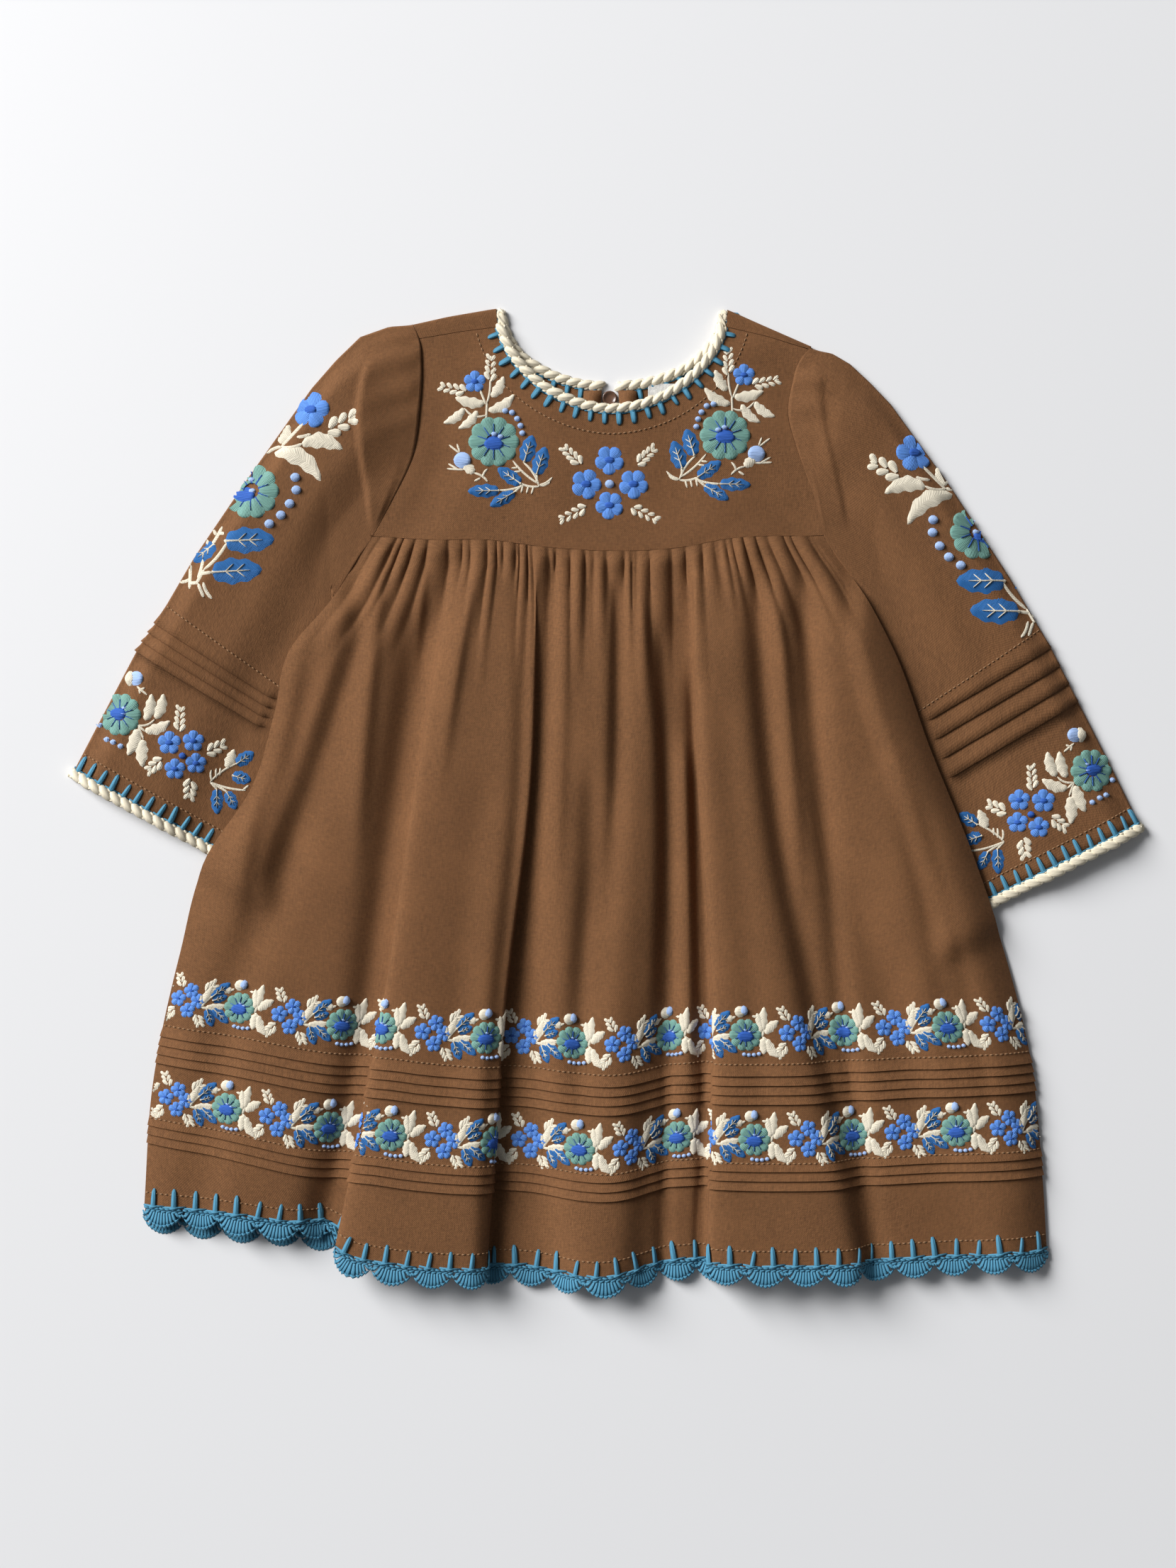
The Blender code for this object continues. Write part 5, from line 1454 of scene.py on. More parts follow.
def stitch_row(name, line, up, material, pitch=2.9):
    """Sew a row of machine stitches along a line on the cloth."""
    line = smooth_line(np.asarray(line), 2.0)
    run = np.gradient(line, axis=0)
    path = Path(line, np.cross(np.asarray(up, float), run), up=up)
    piece = repeat_along(name, stitch_shape(0.66 * pitch, 0.7, 0.36), path, pitch, material,
                         wobble=0.05, seed=12)
    return finish_piece(piece)


def make_stitching(material):
    """Sew the machine stitches of the tucks, the hem, the cuffs and the neck."""
    for name, up in (("front_skirt", (0, 0, 1)), ("back_skirt", (0, 0, -1))):
        surface = SURFACES[name]
        columns = np.arange(0.0, surface["points"].shape[1] - 1, 1.0)
        for k, level in enumerate(STITCH_LEVELS[name]):
            line = read_grid(surface, columns, np.full(len(columns), level), np.full(len(columns), 0.05))
            stitch_row(f"stitches_{name}_{k + 1}", line, up, material)
    for name in ("left", "right"):
        surface = SURFACES["sleeve_" + name]
        columns = np.flatnonzero(surface["shown"]).astype(float)
        for k, level in enumerate(SLEEVE_STITCH_LEVELS):
            line = read_grid(surface, columns, np.full(len(columns), level), np.full(len(columns), 0.05))
            stitch_row(f"stitches_sleeve_{name}_{k + 1}", line, (0, 0, 1), material)
    cloth = bpy.data.objects["front_yoke_cloth"]
    neck = SURFACES["neck_front"]
    run = np.gradient(neck[:, :2], axis=0)
    run /= np.linalg.norm(run, axis=1, keepdims=True)
    outward = neck[:, :2] + np.stack([run[:, 1], -run[:, 0]], axis=-1) * NECK_STITCH
    place = from_above(cloth, lambda flat: flat)
    line, valid = place(outward, np.full(len(outward), 0.05))
    stitch_row("stitches_neck", line[valid], (0, 0, 1), material)


# Embroidery

# Motifs are lists of stitched shapes: thread, kind, start x and y, tip x and y, width and bow, in mm

PETAL_TURN = 0.3
CREAM_WEIGHT = 1.35
SEED_WEIGHT = 1.22


def blossom(x, y, radius, petals=5, turn=PETAL_TURN, thread="flower", heart="deep", heart_size=0.34):
    """List the petals of a round flower and its heart."""
    shapes = []
    for k in range(petals):
        angle = turn + 2 * math.pi * k / petals
        cos, sin = math.cos(angle), math.sin(angle)
        width = 1.95 * radius * math.sin(math.pi / petals) / (1 + math.sin(math.pi / petals)) * 1.34
        shapes.append((thread, "petal", x + 0.16 * radius * cos, y + 0.16 * radius * sin,
                       x + radius * cos, y + radius * sin, width, 0))
    size = heart_size * radius
    return shapes + [(heart, "round", x - size, y, x + size, y, 2 * size, 0)]


def great_blossom(x, y, radius, turn=0.0, heart=(0, -0.1), dots=((0.02, 0.3), (0.27, 0.2)), heart_size=0.38):
    """List the petals of a teal flower, the lines between them, its deep heart and its pale dots."""
    shapes = []
    petals = 10
    for k in range(petals):
        angle = turn + 2 * math.pi * k / petals
        cos, sin = math.cos(angle), math.sin(angle)
        shapes.append(("teal", "petal", x + 0.3 * radius * cos, y + 0.3 * radius * sin,
                       x + radius * cos, y + radius * sin, 0.66 * radius, 0))
        angle += math.pi / petals
        cos, sin = math.cos(angle), math.sin(angle)
        shapes.append(("deep", "line", x + 0.28 * radius * cos, y + 0.28 * radius * sin,
                       x + 0.66 * radius * cos, y + 0.7 * radius * sin, 0.09 * radius, 0))
    hx, hy = x + heart[0] * radius, y + heart[1] * radius
    size = heart_size * radius
    shapes.append(("deep", "round", hx - size, hy, hx + size, hy, 1.8 * size, 0))
    for dx, dy in dots:
        shapes.append(("pale", "dot", x + (dx - 0.12) * radius, y + dy * radius, x + (dx + 0.12) * radius,
                       y + dy * radius, 0.24 * radius, 0))
    return shapes


def sprig(x0, y0, x1, y1, pairs, size, thread="cream", end=True):
    """List the plump seeds of a sprig, set in pairs along its line."""
    shapes = []
    run = np.array([x1 - x0, y1 - y0])
    angle = math.atan2(run[1], run[0])
    for k in range(pairs):
        at = np.array([x0, y0]) + run * (k + 0.2) / pairs
        scale = SEED_WEIGHT * size * (1.05 - 0.3 * k / pairs)
        for side in (-1, 1):
            lean = angle + side * 0.55
            stagger = (0.12 * side + 0.08) * scale * np.array([math.cos(angle), math.sin(angle)])
            foot = at + stagger + 0.1 * scale * np.array([-math.sin(angle), math.cos(angle)]) * side
            tip = foot + scale * np.array([math.cos(lean), math.sin(lean)])
            shapes.append((thread, "petal", *foot, *tip, 0.7 * scale, 0))
    if end:
        tip = np.array([x1, y1])
        shapes.append((thread, "leaf", *(tip - run / np.linalg.norm(run) * size * 0.8), *tip, 0.55 * size, 0))
    return shapes


def veined_leaf(x0, y0, x1, y1, width, stem=0.0, bow=0.0):
    """List a deep blue leaf with its cream midrib and side veins."""
    run = np.array([x1 - x0, y1 - y0])
    start = np.array([x0, y0]) - run * stem
    shapes = [("leaf", "lobed", x0, y0, x1, y1, width, bow),
              ("cream", "vein", *start, *(np.array([x0, y0]) + run * 0.76), 0.1 * width + 0.7, bow * 0.6)]
    for at, reach in ((0.28, 0.26), (0.5, 0.24)):
        foot = np.array([x0, y0]) + run * at
        for side in (-1, 1):
            across = np.array([-run[1], run[0]]) / np.linalg.norm(run) * side
            tip = foot + run * 0.16 + across * reach * width
            shapes.append(("cream", "vein", *foot, *tip, 0.07 * width + 0.6, 0))
    return shapes


def dots(places, radius, thread="pale"):
    """List round dots."""
    return [(thread, "dot", x - radius, y, x + radius, y, 2 * radius, 0) for x, y in places]


def strokes(lines, width, thread="cream"):
    """List plain stems, given as start x and y, tip x and y and bow."""
    return [(thread, "stem", *line[:4], width * CREAM_WEIGHT, line[4] if len(line) > 4 else 0)
            for line in lines]


def leaves(rows, thread="cream"):
    """List feathered leaves, given as start x and y, tip x and y, width and bow."""
    return [(thread, "feather", *row[:4], row[4] * CREAM_WEIGHT, row[5]) for row in rows]


def yoke_spray():
    """List the spray beside the neck, from the middle of its teal flower."""
    shapes = strokes([(-4.2, 12.6, -3.8, 22), (-3.8, 21.8, -2.0, 35, -0.05), (-4.4, 21, -7.8, 29.4),
                      (-4.2, 15, -16.4, 18.9, 0.2),
                      (-11.1, -17.6, -3.4, -22.4, 0.1), (-6.2, -20, -3.5, -15.3, 0.1),
                      (-7.4, -20.4, -10.8, -22.3), (25.6, -25.2, 16.6, -11.6, -0.08),
                      (25.0, -23.6, 10.7, -10.7, 0.05), (25.6, -25.2, 15.3, -23.6, 0.08),
                      (16.4, -24, 11.5, -28.6),
                      (17.5, -24.2, 3.0, -27.4, 0.06), (25.6, -24.5, 32.9, -20.2, -0.1),
                      (26, -25, 31.7, -22.6, -0.1), (24.2, -23, 24.3, -18)], 1.15)
    shapes += strokes([(16.4, -24.5, 15.5, -28.7), (19.5, -25, 18.5, -29.1), (22.5, -25.2, 21.2, -29.5),
                       (13.6, -14.6, 10.0, -14.9), (15.4, -16.6, 11.5, -17.0), (-19.5, -6.1, -25.2, -1.6),
                       (-19.1, -5.7, -20.7, -1.1), (-17, -15.7, -26.4, -15), (-20, -15.5, -25.6, -12.2)], 1.0)
    shapes += leaves([(-1.1, 24.9, 5.7, 36.8, 4.8, -0.06), (-3.1, 17.2, 11.7, 26.6, 4.8, -0.1),
                      (-5, 21.4, -21.8, 25, 5.0, 0.06), (-16.4, 18.9, -28.4, 10.6, 4.3, 0.1),
                      (-9.0, 17.4, -20, 7.4, 4.3, 0.1), (-10.8, -17.8, -17.6, -11.6, 4.6, 0)])
    shapes += sprig(-2.0, 33.5, -1.7, 48.6, 4, 3.9) + sprig(-15, 28.2, -30.6, 31.4, 4, 3.9)
    shapes += dots([(6.5, 17.4), (10.3, 16.4), (13.2, 12.9), (15.1, 9.0), (16.1, 4.8)], 1.75)
    shapes += blossom(-10.7, 33.9, 6.3)
    shapes += [("pale", "round", -22.6, -10.0, -12.8, -10.6, 9.8, 0),
               ("sky", "round", -19.6, -10.8, -13.4, -10.6, 6.6, 0)]
    for row in ((17.2, -11.5, 21.8, 3.6, 9.6), (24.1, -18.7, 29.1, -3.0, 9.6), (15.3, -23.7, 2.2, -14.8, 8.4),
                (3.1, -27.5, -14.6, -27.9, 8.2), (11.9, -28.3, -2.1, -36.4, 7.6)):
        shapes += veined_leaf(*row)
    return shapes + great_blossom(0, 0, 14.4)


def yoke_posy():
    """List the four flowers and four sprigs in the middle of the yoke, from the dot between them."""
    shapes = dots([(0.3, -0.2)], 2.6)
    for x, y, radius, turn in ((0.3, 13.2, 8.3, 0.9), (-12.8, -0.3, 8.6, 1.2), (13.8, -0.3, 8.4, 1.0),
                               (0.3, -12.2, 8.0, 0.8)):
        shapes += blossom(x, y, radius, turn=turn)
    for side in (-1, 1):
        shapes += sprig(side * 15.4, 10.4, side * 25.8, 20.4, 4, 4.0)
        shapes += sprig(side * 12.2, -13.0, side * 28.0, -20.8, 4, 3.8)
    return shapes


def sleeve_spray():
    """List the spray down a sleeve, from the middle of its teal flower."""
    shapes = strokes([(29, 38, 16.7, 25.3), (16.7, 25.3, 8.2, 21.6, -0.08), (25.7, 30.2, 33.5, 31.8, -0.05),
                      (16.7, 25.0, 28.6, 26.4, -0.1), (-13.5, -29.2, -26.5, -44.1, 0.06),
                      (-26.5, -44.1, -30.6, -51.6, 0), (-16.7, -19.6, -27.2, -36, 0.04),
                      (-27.2, -36, -30, -49, 0.04),
                      (-20.0, -24.4, -22.4, -20.8), (-18.6, -23.4, -15.2, -23.6),
                      (-24.4, -32, -25.4, -27.0), (-22, -45.7, -28.3, -46.4), (-34.7, -40, -34.8, -54.8),
                      (-42, -50, -34.8, -49, -0.15), (-34.8, -51.5, -29.4, -51.4),
                      (-29.8, -52, -26.5, -59.6), (-26.8, -51.4, -22, -60.4, -0.08)], 1.7)
    shapes += leaves([(15.9, 26.9, 21, 37.6, 5.4, 0), (28.2, 26.4, 51.6, 23.4, 7.2, 0.14),
                      (12.6, 22, 39.4, 5.4, 8.0, 0.16)])
    shapes += sprig(42, 33, 59, 41.8, 3, 6.0)
    shapes += dots([(24.9, 7.5), (25.5, 0.4), (21.8, -7.3), (16.9, -13.7), (10.4, -18.6)], 2.75)
    shapes += blossom(33.5, 45.7, 10.6, turn=0.1, heart_size=0.33)
    for row in ((-14.7, -28.2, 13.3, -27.2, 15.6),
                (-22, -45.7, 6.3, -44.0, 15.6), (-20.5, -29.5, -33, -39.5, 10)):
        shapes += veined_leaf(*row)
    return shapes + great_blossom(0, 0, 15.8, heart=(-0.25, -0.15), dots=((0.0, 0.42), (0.04, 0.0)))


def cuff_spray():
    """List the band above a cuff, from the outer corner of the cuff."""
    shapes = strokes([(36, 46.7, 41.7, 42.1), (38.2, 45.0, 40.6, 45.9), (37.4, 45.6, 37.8, 42.6),
                      (36.7, 24.9, 46.0, 28.3, -0.15), (36.7, 24.9, 39.8, 17.2), (36.7, 24.9, 40.5, 21.6),
                      (76.5, -6.9, 91.4, 3.6, 0.06), (76.5, -6.9, 96.4, -11.5, -0.05),
                      (76.5, -6.9, 86, -12.4), (76.5, -6.9, 80.3, -11), (77.7, -6.5, 77.3, 0, 0.1),
                      (80, -4.6, 80, 0.8, 0.05), (81.9, -3.1, 82.2, 1.1), (95, -11.2, 98, -8.8)], 1.1)
    shapes += leaves([(40.9, 27.5, 44.4, 42.6, 5.0, -0.06), (46.7, 28.3, 51, 42.6, 5.0, -0.06),
                      (40.5, 21.4, 54.8, 27.3, 5.0, -0.08), (36.7, 23, 31, 7.9, 5.6, 0.04),
                      (39.4, 17, 39.4, 1.4, 5.6, -0.04), (85.7, 0.8, 90, 11.6, 4.6, 0)])
    shapes += sprig(59.9, 20.9, 60.4, 35.4, 4, 3.8) + sprig(50.9, 6.1, 42, -0.9, 3, 4.2)
    shapes += sprig(74.2, 9.2, 85, 14.6, 3, 4.2) + sprig(66.2, -4.6, 65, -16.3, 3, 4.4)
    shapes += dots([(14.2, 25.2), (18.7, 17), (22.6, 15.5), (26.9, 13.2)], 1.7)
    shapes += dots([(61.6, 7.8)], 2.0, "deep")
    shapes += [("pale", "round", 30.6, 51.3, 39.6, 51.3, 8.8, 0),
               ("cream", "dot", 28.8, 51.3, 34.4, 51.3, 9.2, 0)]
    for x, y, radius in ((54.3, 15.1, 6.7), (67.7, 16.1, 6.1), (69, 3.6, 5.9), (57.4, 0.4, 6.0)):
        shapes += blossom(x, y, radius)
    for row in ((91, 3.1, 101, 10, 8), (88.7, -3.1, 99.5, -6.1, 8), (80.3, -10.7, 80.3, -25.2, 7.6),
                (85.7, -12.2, 91, -22.4, 7.2)):
        shapes += veined_leaf(*row)
    return shapes + great_blossom(26.4, 31.0, 12.2, heart=(-0.1, 0.05), dots=((0.2, 0.3), (0.18, 0.02)))


def band_repeat():
    """List one repeat of the bands round the skirt, from the middle of its four flowers."""
    shapes = strokes([(-50.5, -4.2, -45.6, 3.2, 0.05), (-50.5, -4.2, -37, -1.6, -0.05),
                      (-50.5, -4.2, -44, -3.8),
                      (-49.8, -1.5, -49.4, 1.8), (-19.6, -2.5, -18.4, 2.5), (-19.6, -2.5, -17, -4.5),
                      (-24.8, 9.0, -20.8, 8.6), (-34.2, 9.0, -37.6, 7.0)], 1.3)
    shapes += leaves([(-19.8, 0.0, -22.0, 10.8, 4.0, -0.04), (-18.6, 1.2, -17.6, 14.2, 4.0, 0.04),
                      (-18.0, -0.8, -10.0, 6.4, 4.2, 0.06), (-19.6, -3.2, -19.0, -12.4, 4.2, 0.04),
                      (-17.2, -3.6, -10.4, -14.0, 4.4, -0.12), (-49.8, -1.4, -46.6, 9.4, 3.9, 0),
                      (-50.6, -2.6, -52.4, 3.8, 3.0, 0), (-48, -3.6, -37, -1.0, 2.6, 0),
                      (-48, -4.4, -38, -3.2, 2.2, 0), (-35.2, 8.2, -40.8, 7.4, 3.4, 0)])
    shapes += sprig(-4.4, 5.6, -8.6, 13.4, 3, 3.3) + sprig(8.6, 4.6, 13.8, 10.4, 3, 3.9)
    shapes += sprig(-6.0, -6.4, -11.0, -12.4, 3, 3.7) + sprig(6.8, -8.0, 10.2, -14.4, 3, 3.4)
    shapes += dots([(-29.9, -12.2), (-27.3, -12.6), (-24.5, -12.5), (-21.7, -12)], 1.25)
    shapes += [("cream", "round", -34.6, 11.6, -28.4, 11.6, 6.8, 0),
               ("pale", "dot", -31.4, 12.2, -27.0, 12.2, 6.0, 0)]
    for x, y, radius, turn in ((-5.7, -0.8, 4.9, 0.3), (1.1, 4.8, 4.6, 0.7), (6.1, -0.8, 4.6, 0.2),
                               (1.3, -6.9, 4.6, 0.5)):
        shapes += blossom(x, y, radius, turn=turn)
    for row in ((-46, 2.4, -37.2, 12.2, 6.6), (-45, 0.6, -37.2, 4.4, 5.4), (-44, -3.4, -33.6, -11.2, 6.0),
                (-47, -4.4, -42.0, -14.4, 6.2)):
        shapes += veined_leaf(*row)
    return shapes + great_blossom(-29, -1.3, 9.2, heart_size=0.5)


PROFILES = {"round": lambda u: np.sqrt(np.clip(1 - (2 * u - 1) ** 2, 0, 1)),
            "dot": lambda u: np.sqrt(np.clip(1 - (2 * u - 1) ** 2, 0, 1)),
            "petal": lambda u: np.where(u < 0.62, 0.38 + 0.62 * np.sin(np.pi / 2 * u / 0.62),
                                        np.sqrt(np.clip(1 - ((u - 0.62) / 0.38) ** 2, 0, 1))),
            "leaf": lambda u: np.sin(np.pi * u ** 0.85) ** 0.75,
            "lobed": lambda u: np.sin(np.pi * u ** 0.8) ** 0.5 * (1 + 0.1 * np.sin(u * 20)),
            "feather": lambda u: np.sin(np.pi * u ** 0.85) ** 0.6 * (1 + 0.14 * np.sin(u * 21)),
            "stem": lambda u: np.minimum(1, 6 * np.minimum(u + 0.03, 1.03 - u)) ** 0.5,
            "vein": lambda u: (1 - 0.45 * u) * np.minimum(1, 5 * (1.03 - u)) ** 0.5,
            "line": lambda u: 1 - 0.6 * u}
STACKED = {"line": 0.95, "vein": 1.05, "round": 0.6, "dot": 1.0, "stem": 0.15}
ALONG_STITCHES = ("petal", "round")


def stitched_patch(kind, x0, y0, x1, y1, width, bow):
    """Lay out one padded shape of satin stitch: its flat places, its height and its thread map."""
    start, tip = np.array([x0, y0]), np.array([x1, y1])
    length = float(np.linalg.norm(tip - start))
    lobed = kind in ("lobed", "feather")
    steps = int(np.clip(round(length / (1.3 if lobed else 1.9)) + 2, 4, 16 if lobed else 9))
    cells = 4 if width > 3.4 else 2
    u = np.linspace(0, 1, steps + 1)
    if kind in ("round", "dot", "petal", "leaf"):
        u = (1 - np.cos(np.pi * u)) / 2
    w = np.linspace(-1, 1, cells + 1)
    run = (tip - start) / length
    side = np.array([-run[1], run[0]])
    half = width / 2 * np.maximum(PROFILES[kind](u), 0.04)
    centre = start + (tip - start) * u[:, None] + side * (bow * length * 4 * u * (1 - u))[:, None]
    flat = centre[:, None] + side * (half[:, None] * w)[..., None]
    dome = np.sqrt(np.clip(1 - w**2, 0, 1))[None] * np.minimum(1, 2.6 * half / (width / 2))[:, None]
    tall = PAD_BASE + PAD_GROWTH * min(width, 7.0)
    height = STACKED.get(kind, 0.0) - PAD_SINK + (tall + PAD_SINK) * dome
    height = np.where(dome < 0.05, -PAD_SINK, height)
    across = half[:, None] * w
    reach = (u * length)[:, None] + 0 * w
    if kind in ALONG_STITCHES:
        thread_map = np.stack([across, reach], axis=-1)
    else:
        thread_map = np.stack([reach + 0.8 * np.abs(across), across], axis=-1)
    return flat, height, thread_map


def lay_motif(motif, place, found):
    """Lay a motif's shapes on the cloth with a placing function, sorted by thread."""
    for thread, kind, *form in motif:
        flat, height, thread_map = stitched_patch(kind, *form)
        places, valid = place(flat.reshape(-1, 2), height.ravel())
        found.setdefault(thread, []).append((places, valid, thread_map.reshape(-1, 2), flat.shape[:2]))


def embroider(name, found, paint):
    """Make one piece for each thread from the shapes laid out."""
    made = []
    for thread, patches in found.items():
        points, maps, faces, count = [], [], [], 0
        for places, valid, thread_map, (rows, columns) in patches:
            index = count + np.arange(rows * columns).reshape(rows, columns)
            cells = np.stack([index[:-1, :-1], index[1:, :-1], index[1:, 1:], index[:-1, 1:]], axis=-1)
            cells = cells.reshape(-1, 4)
            cells = cells[valid[cells - count].all(axis=1)]
            a, b, c = (places[cells[:, k] - count] for k in (0, 1, 2))
            facing = np.cross(b - a, c - a)
            if len(cells) and facing[:, 2].sum() * EMBROIDERY_UP[name] < 0:
                cells = cells[:, ::-1]
            points.append(places)
            maps.append(thread_map)
            faces.append(cells)
            count += rows * columns
        faces = np.concatenate(faces)
        if len(faces):
            piece = mesh_object(f"embroidery_{name}_{thread}", np.concatenate(points), faces,
                                paint["thread_" + thread], np.concatenate(maps))
            made.append(finish_piece(piece))
    return made


def turned(centre, mirror=1, angle=0.0):
    """Give a function that mirrors, turns and moves a motif's flat places."""
    cos, sin = math.cos(angle), math.sin(angle)

    def move(flat):
        x, y = flat[:, 0] * mirror, flat[:, 1]
        return np.stack([centre[0] + x * cos - y * sin, centre[1] + x * sin + y * cos], axis=-1)

    return move


def from_above(made, move):
    """Give a placing function that drops a motif's places onto a piece of cloth from above."""
    tree = BVHTree.FromObject(made, bpy.context.evaluated_depsgraph_get())

    def place(flat, height):
        flat = move(flat)
        places = np.zeros((len(flat), 3))
        valid = np.zeros(len(flat), bool)
        for k, (x, y) in enumerate(flat):
            hit, normal, _, _ = tree.ray_cast(Vector((x * MM, y * MM, 0.1)), Vector((0, 0, -1)))
            if hit:
                places[k] = np.array(hit) / MM + np.array(normal) * height[k]
                valid[k] = True
        return places, valid

    return place


def round_skirt(surface, level, offset, low=0.0, high=math.inf):
    """Give a placing function that runs a band's places round the skirt, from one length to another."""
    row = int(np.argmin(np.abs(surface["levels"] - level)))
    line = surface["points"][row]
    reach = np.concatenate([[0], np.cumsum(np.linalg.norm(np.diff(line, axis=0), axis=1))])
    deep = np.linalg.norm(surface["points"][-1] - surface["points"][0], axis=1).mean()

    def place(flat, height):
        at = offset + flat[:, 0]
        columns = np.interp(at, reach, np.arange(len(reach)))
        levels = level - flat[:, 1] / deep
        within = (at > max(low, 0.5)) & (at < min(high, reach[-1] - 0.5))
        return read_grid(surface, columns, levels, height), within

    return place, reach


def make_skirt_bands(name, paint):
    """Make the two embroidered bands round the front or back of the skirt."""
    surface = SURFACES[name]
    found = {}
    for level, anchor, left_anchor in BANDS:
        row = surface["points"][int(np.argmin(np.abs(surface["levels"] - level)))]
        _, reach = round_skirt(surface, level, 0)
        split = 0.0
        if name == "front_skirt":
            split = float(reach[np.argmin(np.abs(row[:, 0] - fold_x(FOLDS[LEFT_FOLD], row[:, 1])))])
        for middle, low, high in ((left_anchor, 0.0, split), (anchor, split, math.inf)):
            start = float(reach[np.argmin(np.abs(row[:, 0] - middle))]) % BAND_REPEAT
            while start < reach[-1] + BAND_REPEAT:
                place, _ = round_skirt(surface, level, start, low, high)
                lay_motif(band_repeat(), place, found)
                start += BAND_REPEAT
    return embroider(name.split("_")[0], found, paint)


def make_yoke_embroidery(paint):
    """Make the sprays and the posy on the front yoke."""
    cloth = bpy.data.objects["front_yoke_cloth"]
    found = {}
    lay_motif(yoke_spray(), from_above(cloth, turned((-63.2, 202.0))), found)
    lay_motif(yoke_spray(), from_above(cloth, turned((66.8, 205.6), mirror=-1)), found)
    lay_motif(yoke_posy(), from_above(cloth, turned((1.6, 178.4))), found)
    return embroider("yoke", found, paint)


def make_sleeve_embroidery(paint):
    """Make the spray and the cuff band on each sleeve."""
    for name, centre, corner, mirror, angle in (("left", (-199.2, 174.0), (-299.2, 17.6), 1, 0.0),
                                                ("right", (208.4, 151.2), (300.0, -12.8), -1, 0.04)):
        cloth = bpy.data.objects["sleeve_cloth_" + name]
        found = {}
        lay_motif(sleeve_spray(), from_above(cloth, turned(centre, mirror, angle)), found)
        lay_motif(cuff_spray(), from_above(cloth, turned(corner, mirror, angle)), found)
        embroider("sleeve_" + name, found, paint)


# Stage


def make_stage(settings):
    """Make the pale floor, the soft light and the camera straight above the dress."""
    data = bpy.data.meshes.new("floor")
    data.from_pydata([(-4, -4, 0), (4, -4, 0), (4, 4, 0), (-4, 4, 0)], [], [(0, 1, 2, 3)])
    floor = bpy.data.objects.new("floor", data)
    bpy.context.scene.collection.objects.link(floor)
    material = bpy.data.materials.new("pale_floor")
    material.use_nodes = True
    shader = material.node_tree.nodes["Principled BSDF"]
    shader.inputs["Base Color"].default_value = (*settings.floor_colour, 1)
    shader.inputs["Roughness"].default_value = 0.55
    data.materials.append(material)

    bpy.context.scene.view_settings.view_transform = "Standard"
    world = bpy.context.scene.world or bpy.data.worlds.new("room")
    bpy.context.scene.world = world
    world.use_nodes = True
    sky = world.node_tree.nodes["Background"]
    sky.inputs["Color"].default_value = (0.93, 0.96, 1.0, 1)
    sky.inputs["Strength"].default_value = settings.room_light
    for name, kind, place, power in (("window", "SUN", (-3.0, 2.1, 2.0), settings.window_light),
                                     ("lamp", "AREA", (-1.8, 1.2, 1.6), settings.lamp_light)):
        light = bpy.data.lights.new(name, kind)
        light.energy = power
        if kind == "SUN":
            light.angle = settings.softness
        else:
            light.size = 1.6
        lamp = bpy.data.objects.new(name, light)
        lamp.location = place
        lamp.rotation_euler = Vector(place).to_track_quat("Z", "Y").to_euler()
        bpy.context.scene.collection.objects.link(lamp)

    camera = bpy.data.cameras.new("camera")
    camera.lens = 50
    camera.sensor_width = 36
    camera.clip_start = 0.05
    made = bpy.data.objects.new("camera", camera)
    made.location = (*CAMERA_AIM, FRAME_HEIGHT * camera.lens / camera.sensor_width)
    bpy.context.scene.collection.objects.link(made)
    bpy.context.scene.camera = made


# Add-on


class DressColours(bpy.types.PropertyGroup):
    """Colours of the cloth and threads."""

    cloth: FloatVectorProperty(name="Cloth", description="Brown of the woven cloth", subtype="COLOR",
                               size=3, min=0, max=1, default=(0.214, 0.096, 0.038))
    cream: FloatVectorProperty(name="Cream", description="Cream of the crochet and the light threads",
                               subtype="COLOR", size=3, min=0, max=1, default=(0.86, 0.77, 0.59))
    edging: FloatVectorProperty(name="Edging", description="Blue of the hem edging and blanket stitches",
                                subtype="COLOR", size=3, min=0, max=1, default=(0.085, 0.285, 0.43))


class DressStage(bpy.types.PropertyGroup):
    """Light and floor."""

    floor_colour: FloatVectorProperty(name="Floor", description="Colour of the pale floor", subtype="COLOR",
                                      size=3, min=0, max=1, default=(0.82, 0.82, 0.83))
    window_light: FloatProperty(name="Window light", description="Strength of the light from the left",
                                default=3.6, min=0)
    softness: FloatProperty(name="Softness", description="Width of the light from the left, as an angle",
                            default=math.radians(32), min=0, max=math.pi, unit="ROTATION")
    lamp_light: FloatProperty(name="Lamp", description="Power of the nearer lamp at the upper left",
                              default=42.0, min=0, unit="POWER")
    room_light: FloatProperty(name="Room light", description="Strength of the light from all round",
                              default=0.13, min=0)


def cloth_material(name, colour, dark=0.6, pale=1.5, bump=(0.6, 0.3)):
    """Make a woven material from its main colour."""
    group = bpy.data.node_groups.get("plain_weave") or weave_group()
    colours = {"Colour": shade(colour, 1.0), "Dark": shade(colour, dark), "Pale": shade(colour, pale)}
    return grouped_material(name, group, colours, CLOTH_PITCH, 0.88, bump, sheen=0.05)


def thread_material(name, colour, dark=0.5, pitch=0.75):
    """Make a thread material from its main colour."""
    group = bpy.data.node_groups.get("laid_thread") or thread_group()
    # the dark colour is the painted shade in the grooves between the threads
    colours = {"Colour": shade(colour, 1.05), "Dark": shade(colour, dark)}
    return grouped_material(name, group, colours, pitch, 0.7, (0.6, 0.3))


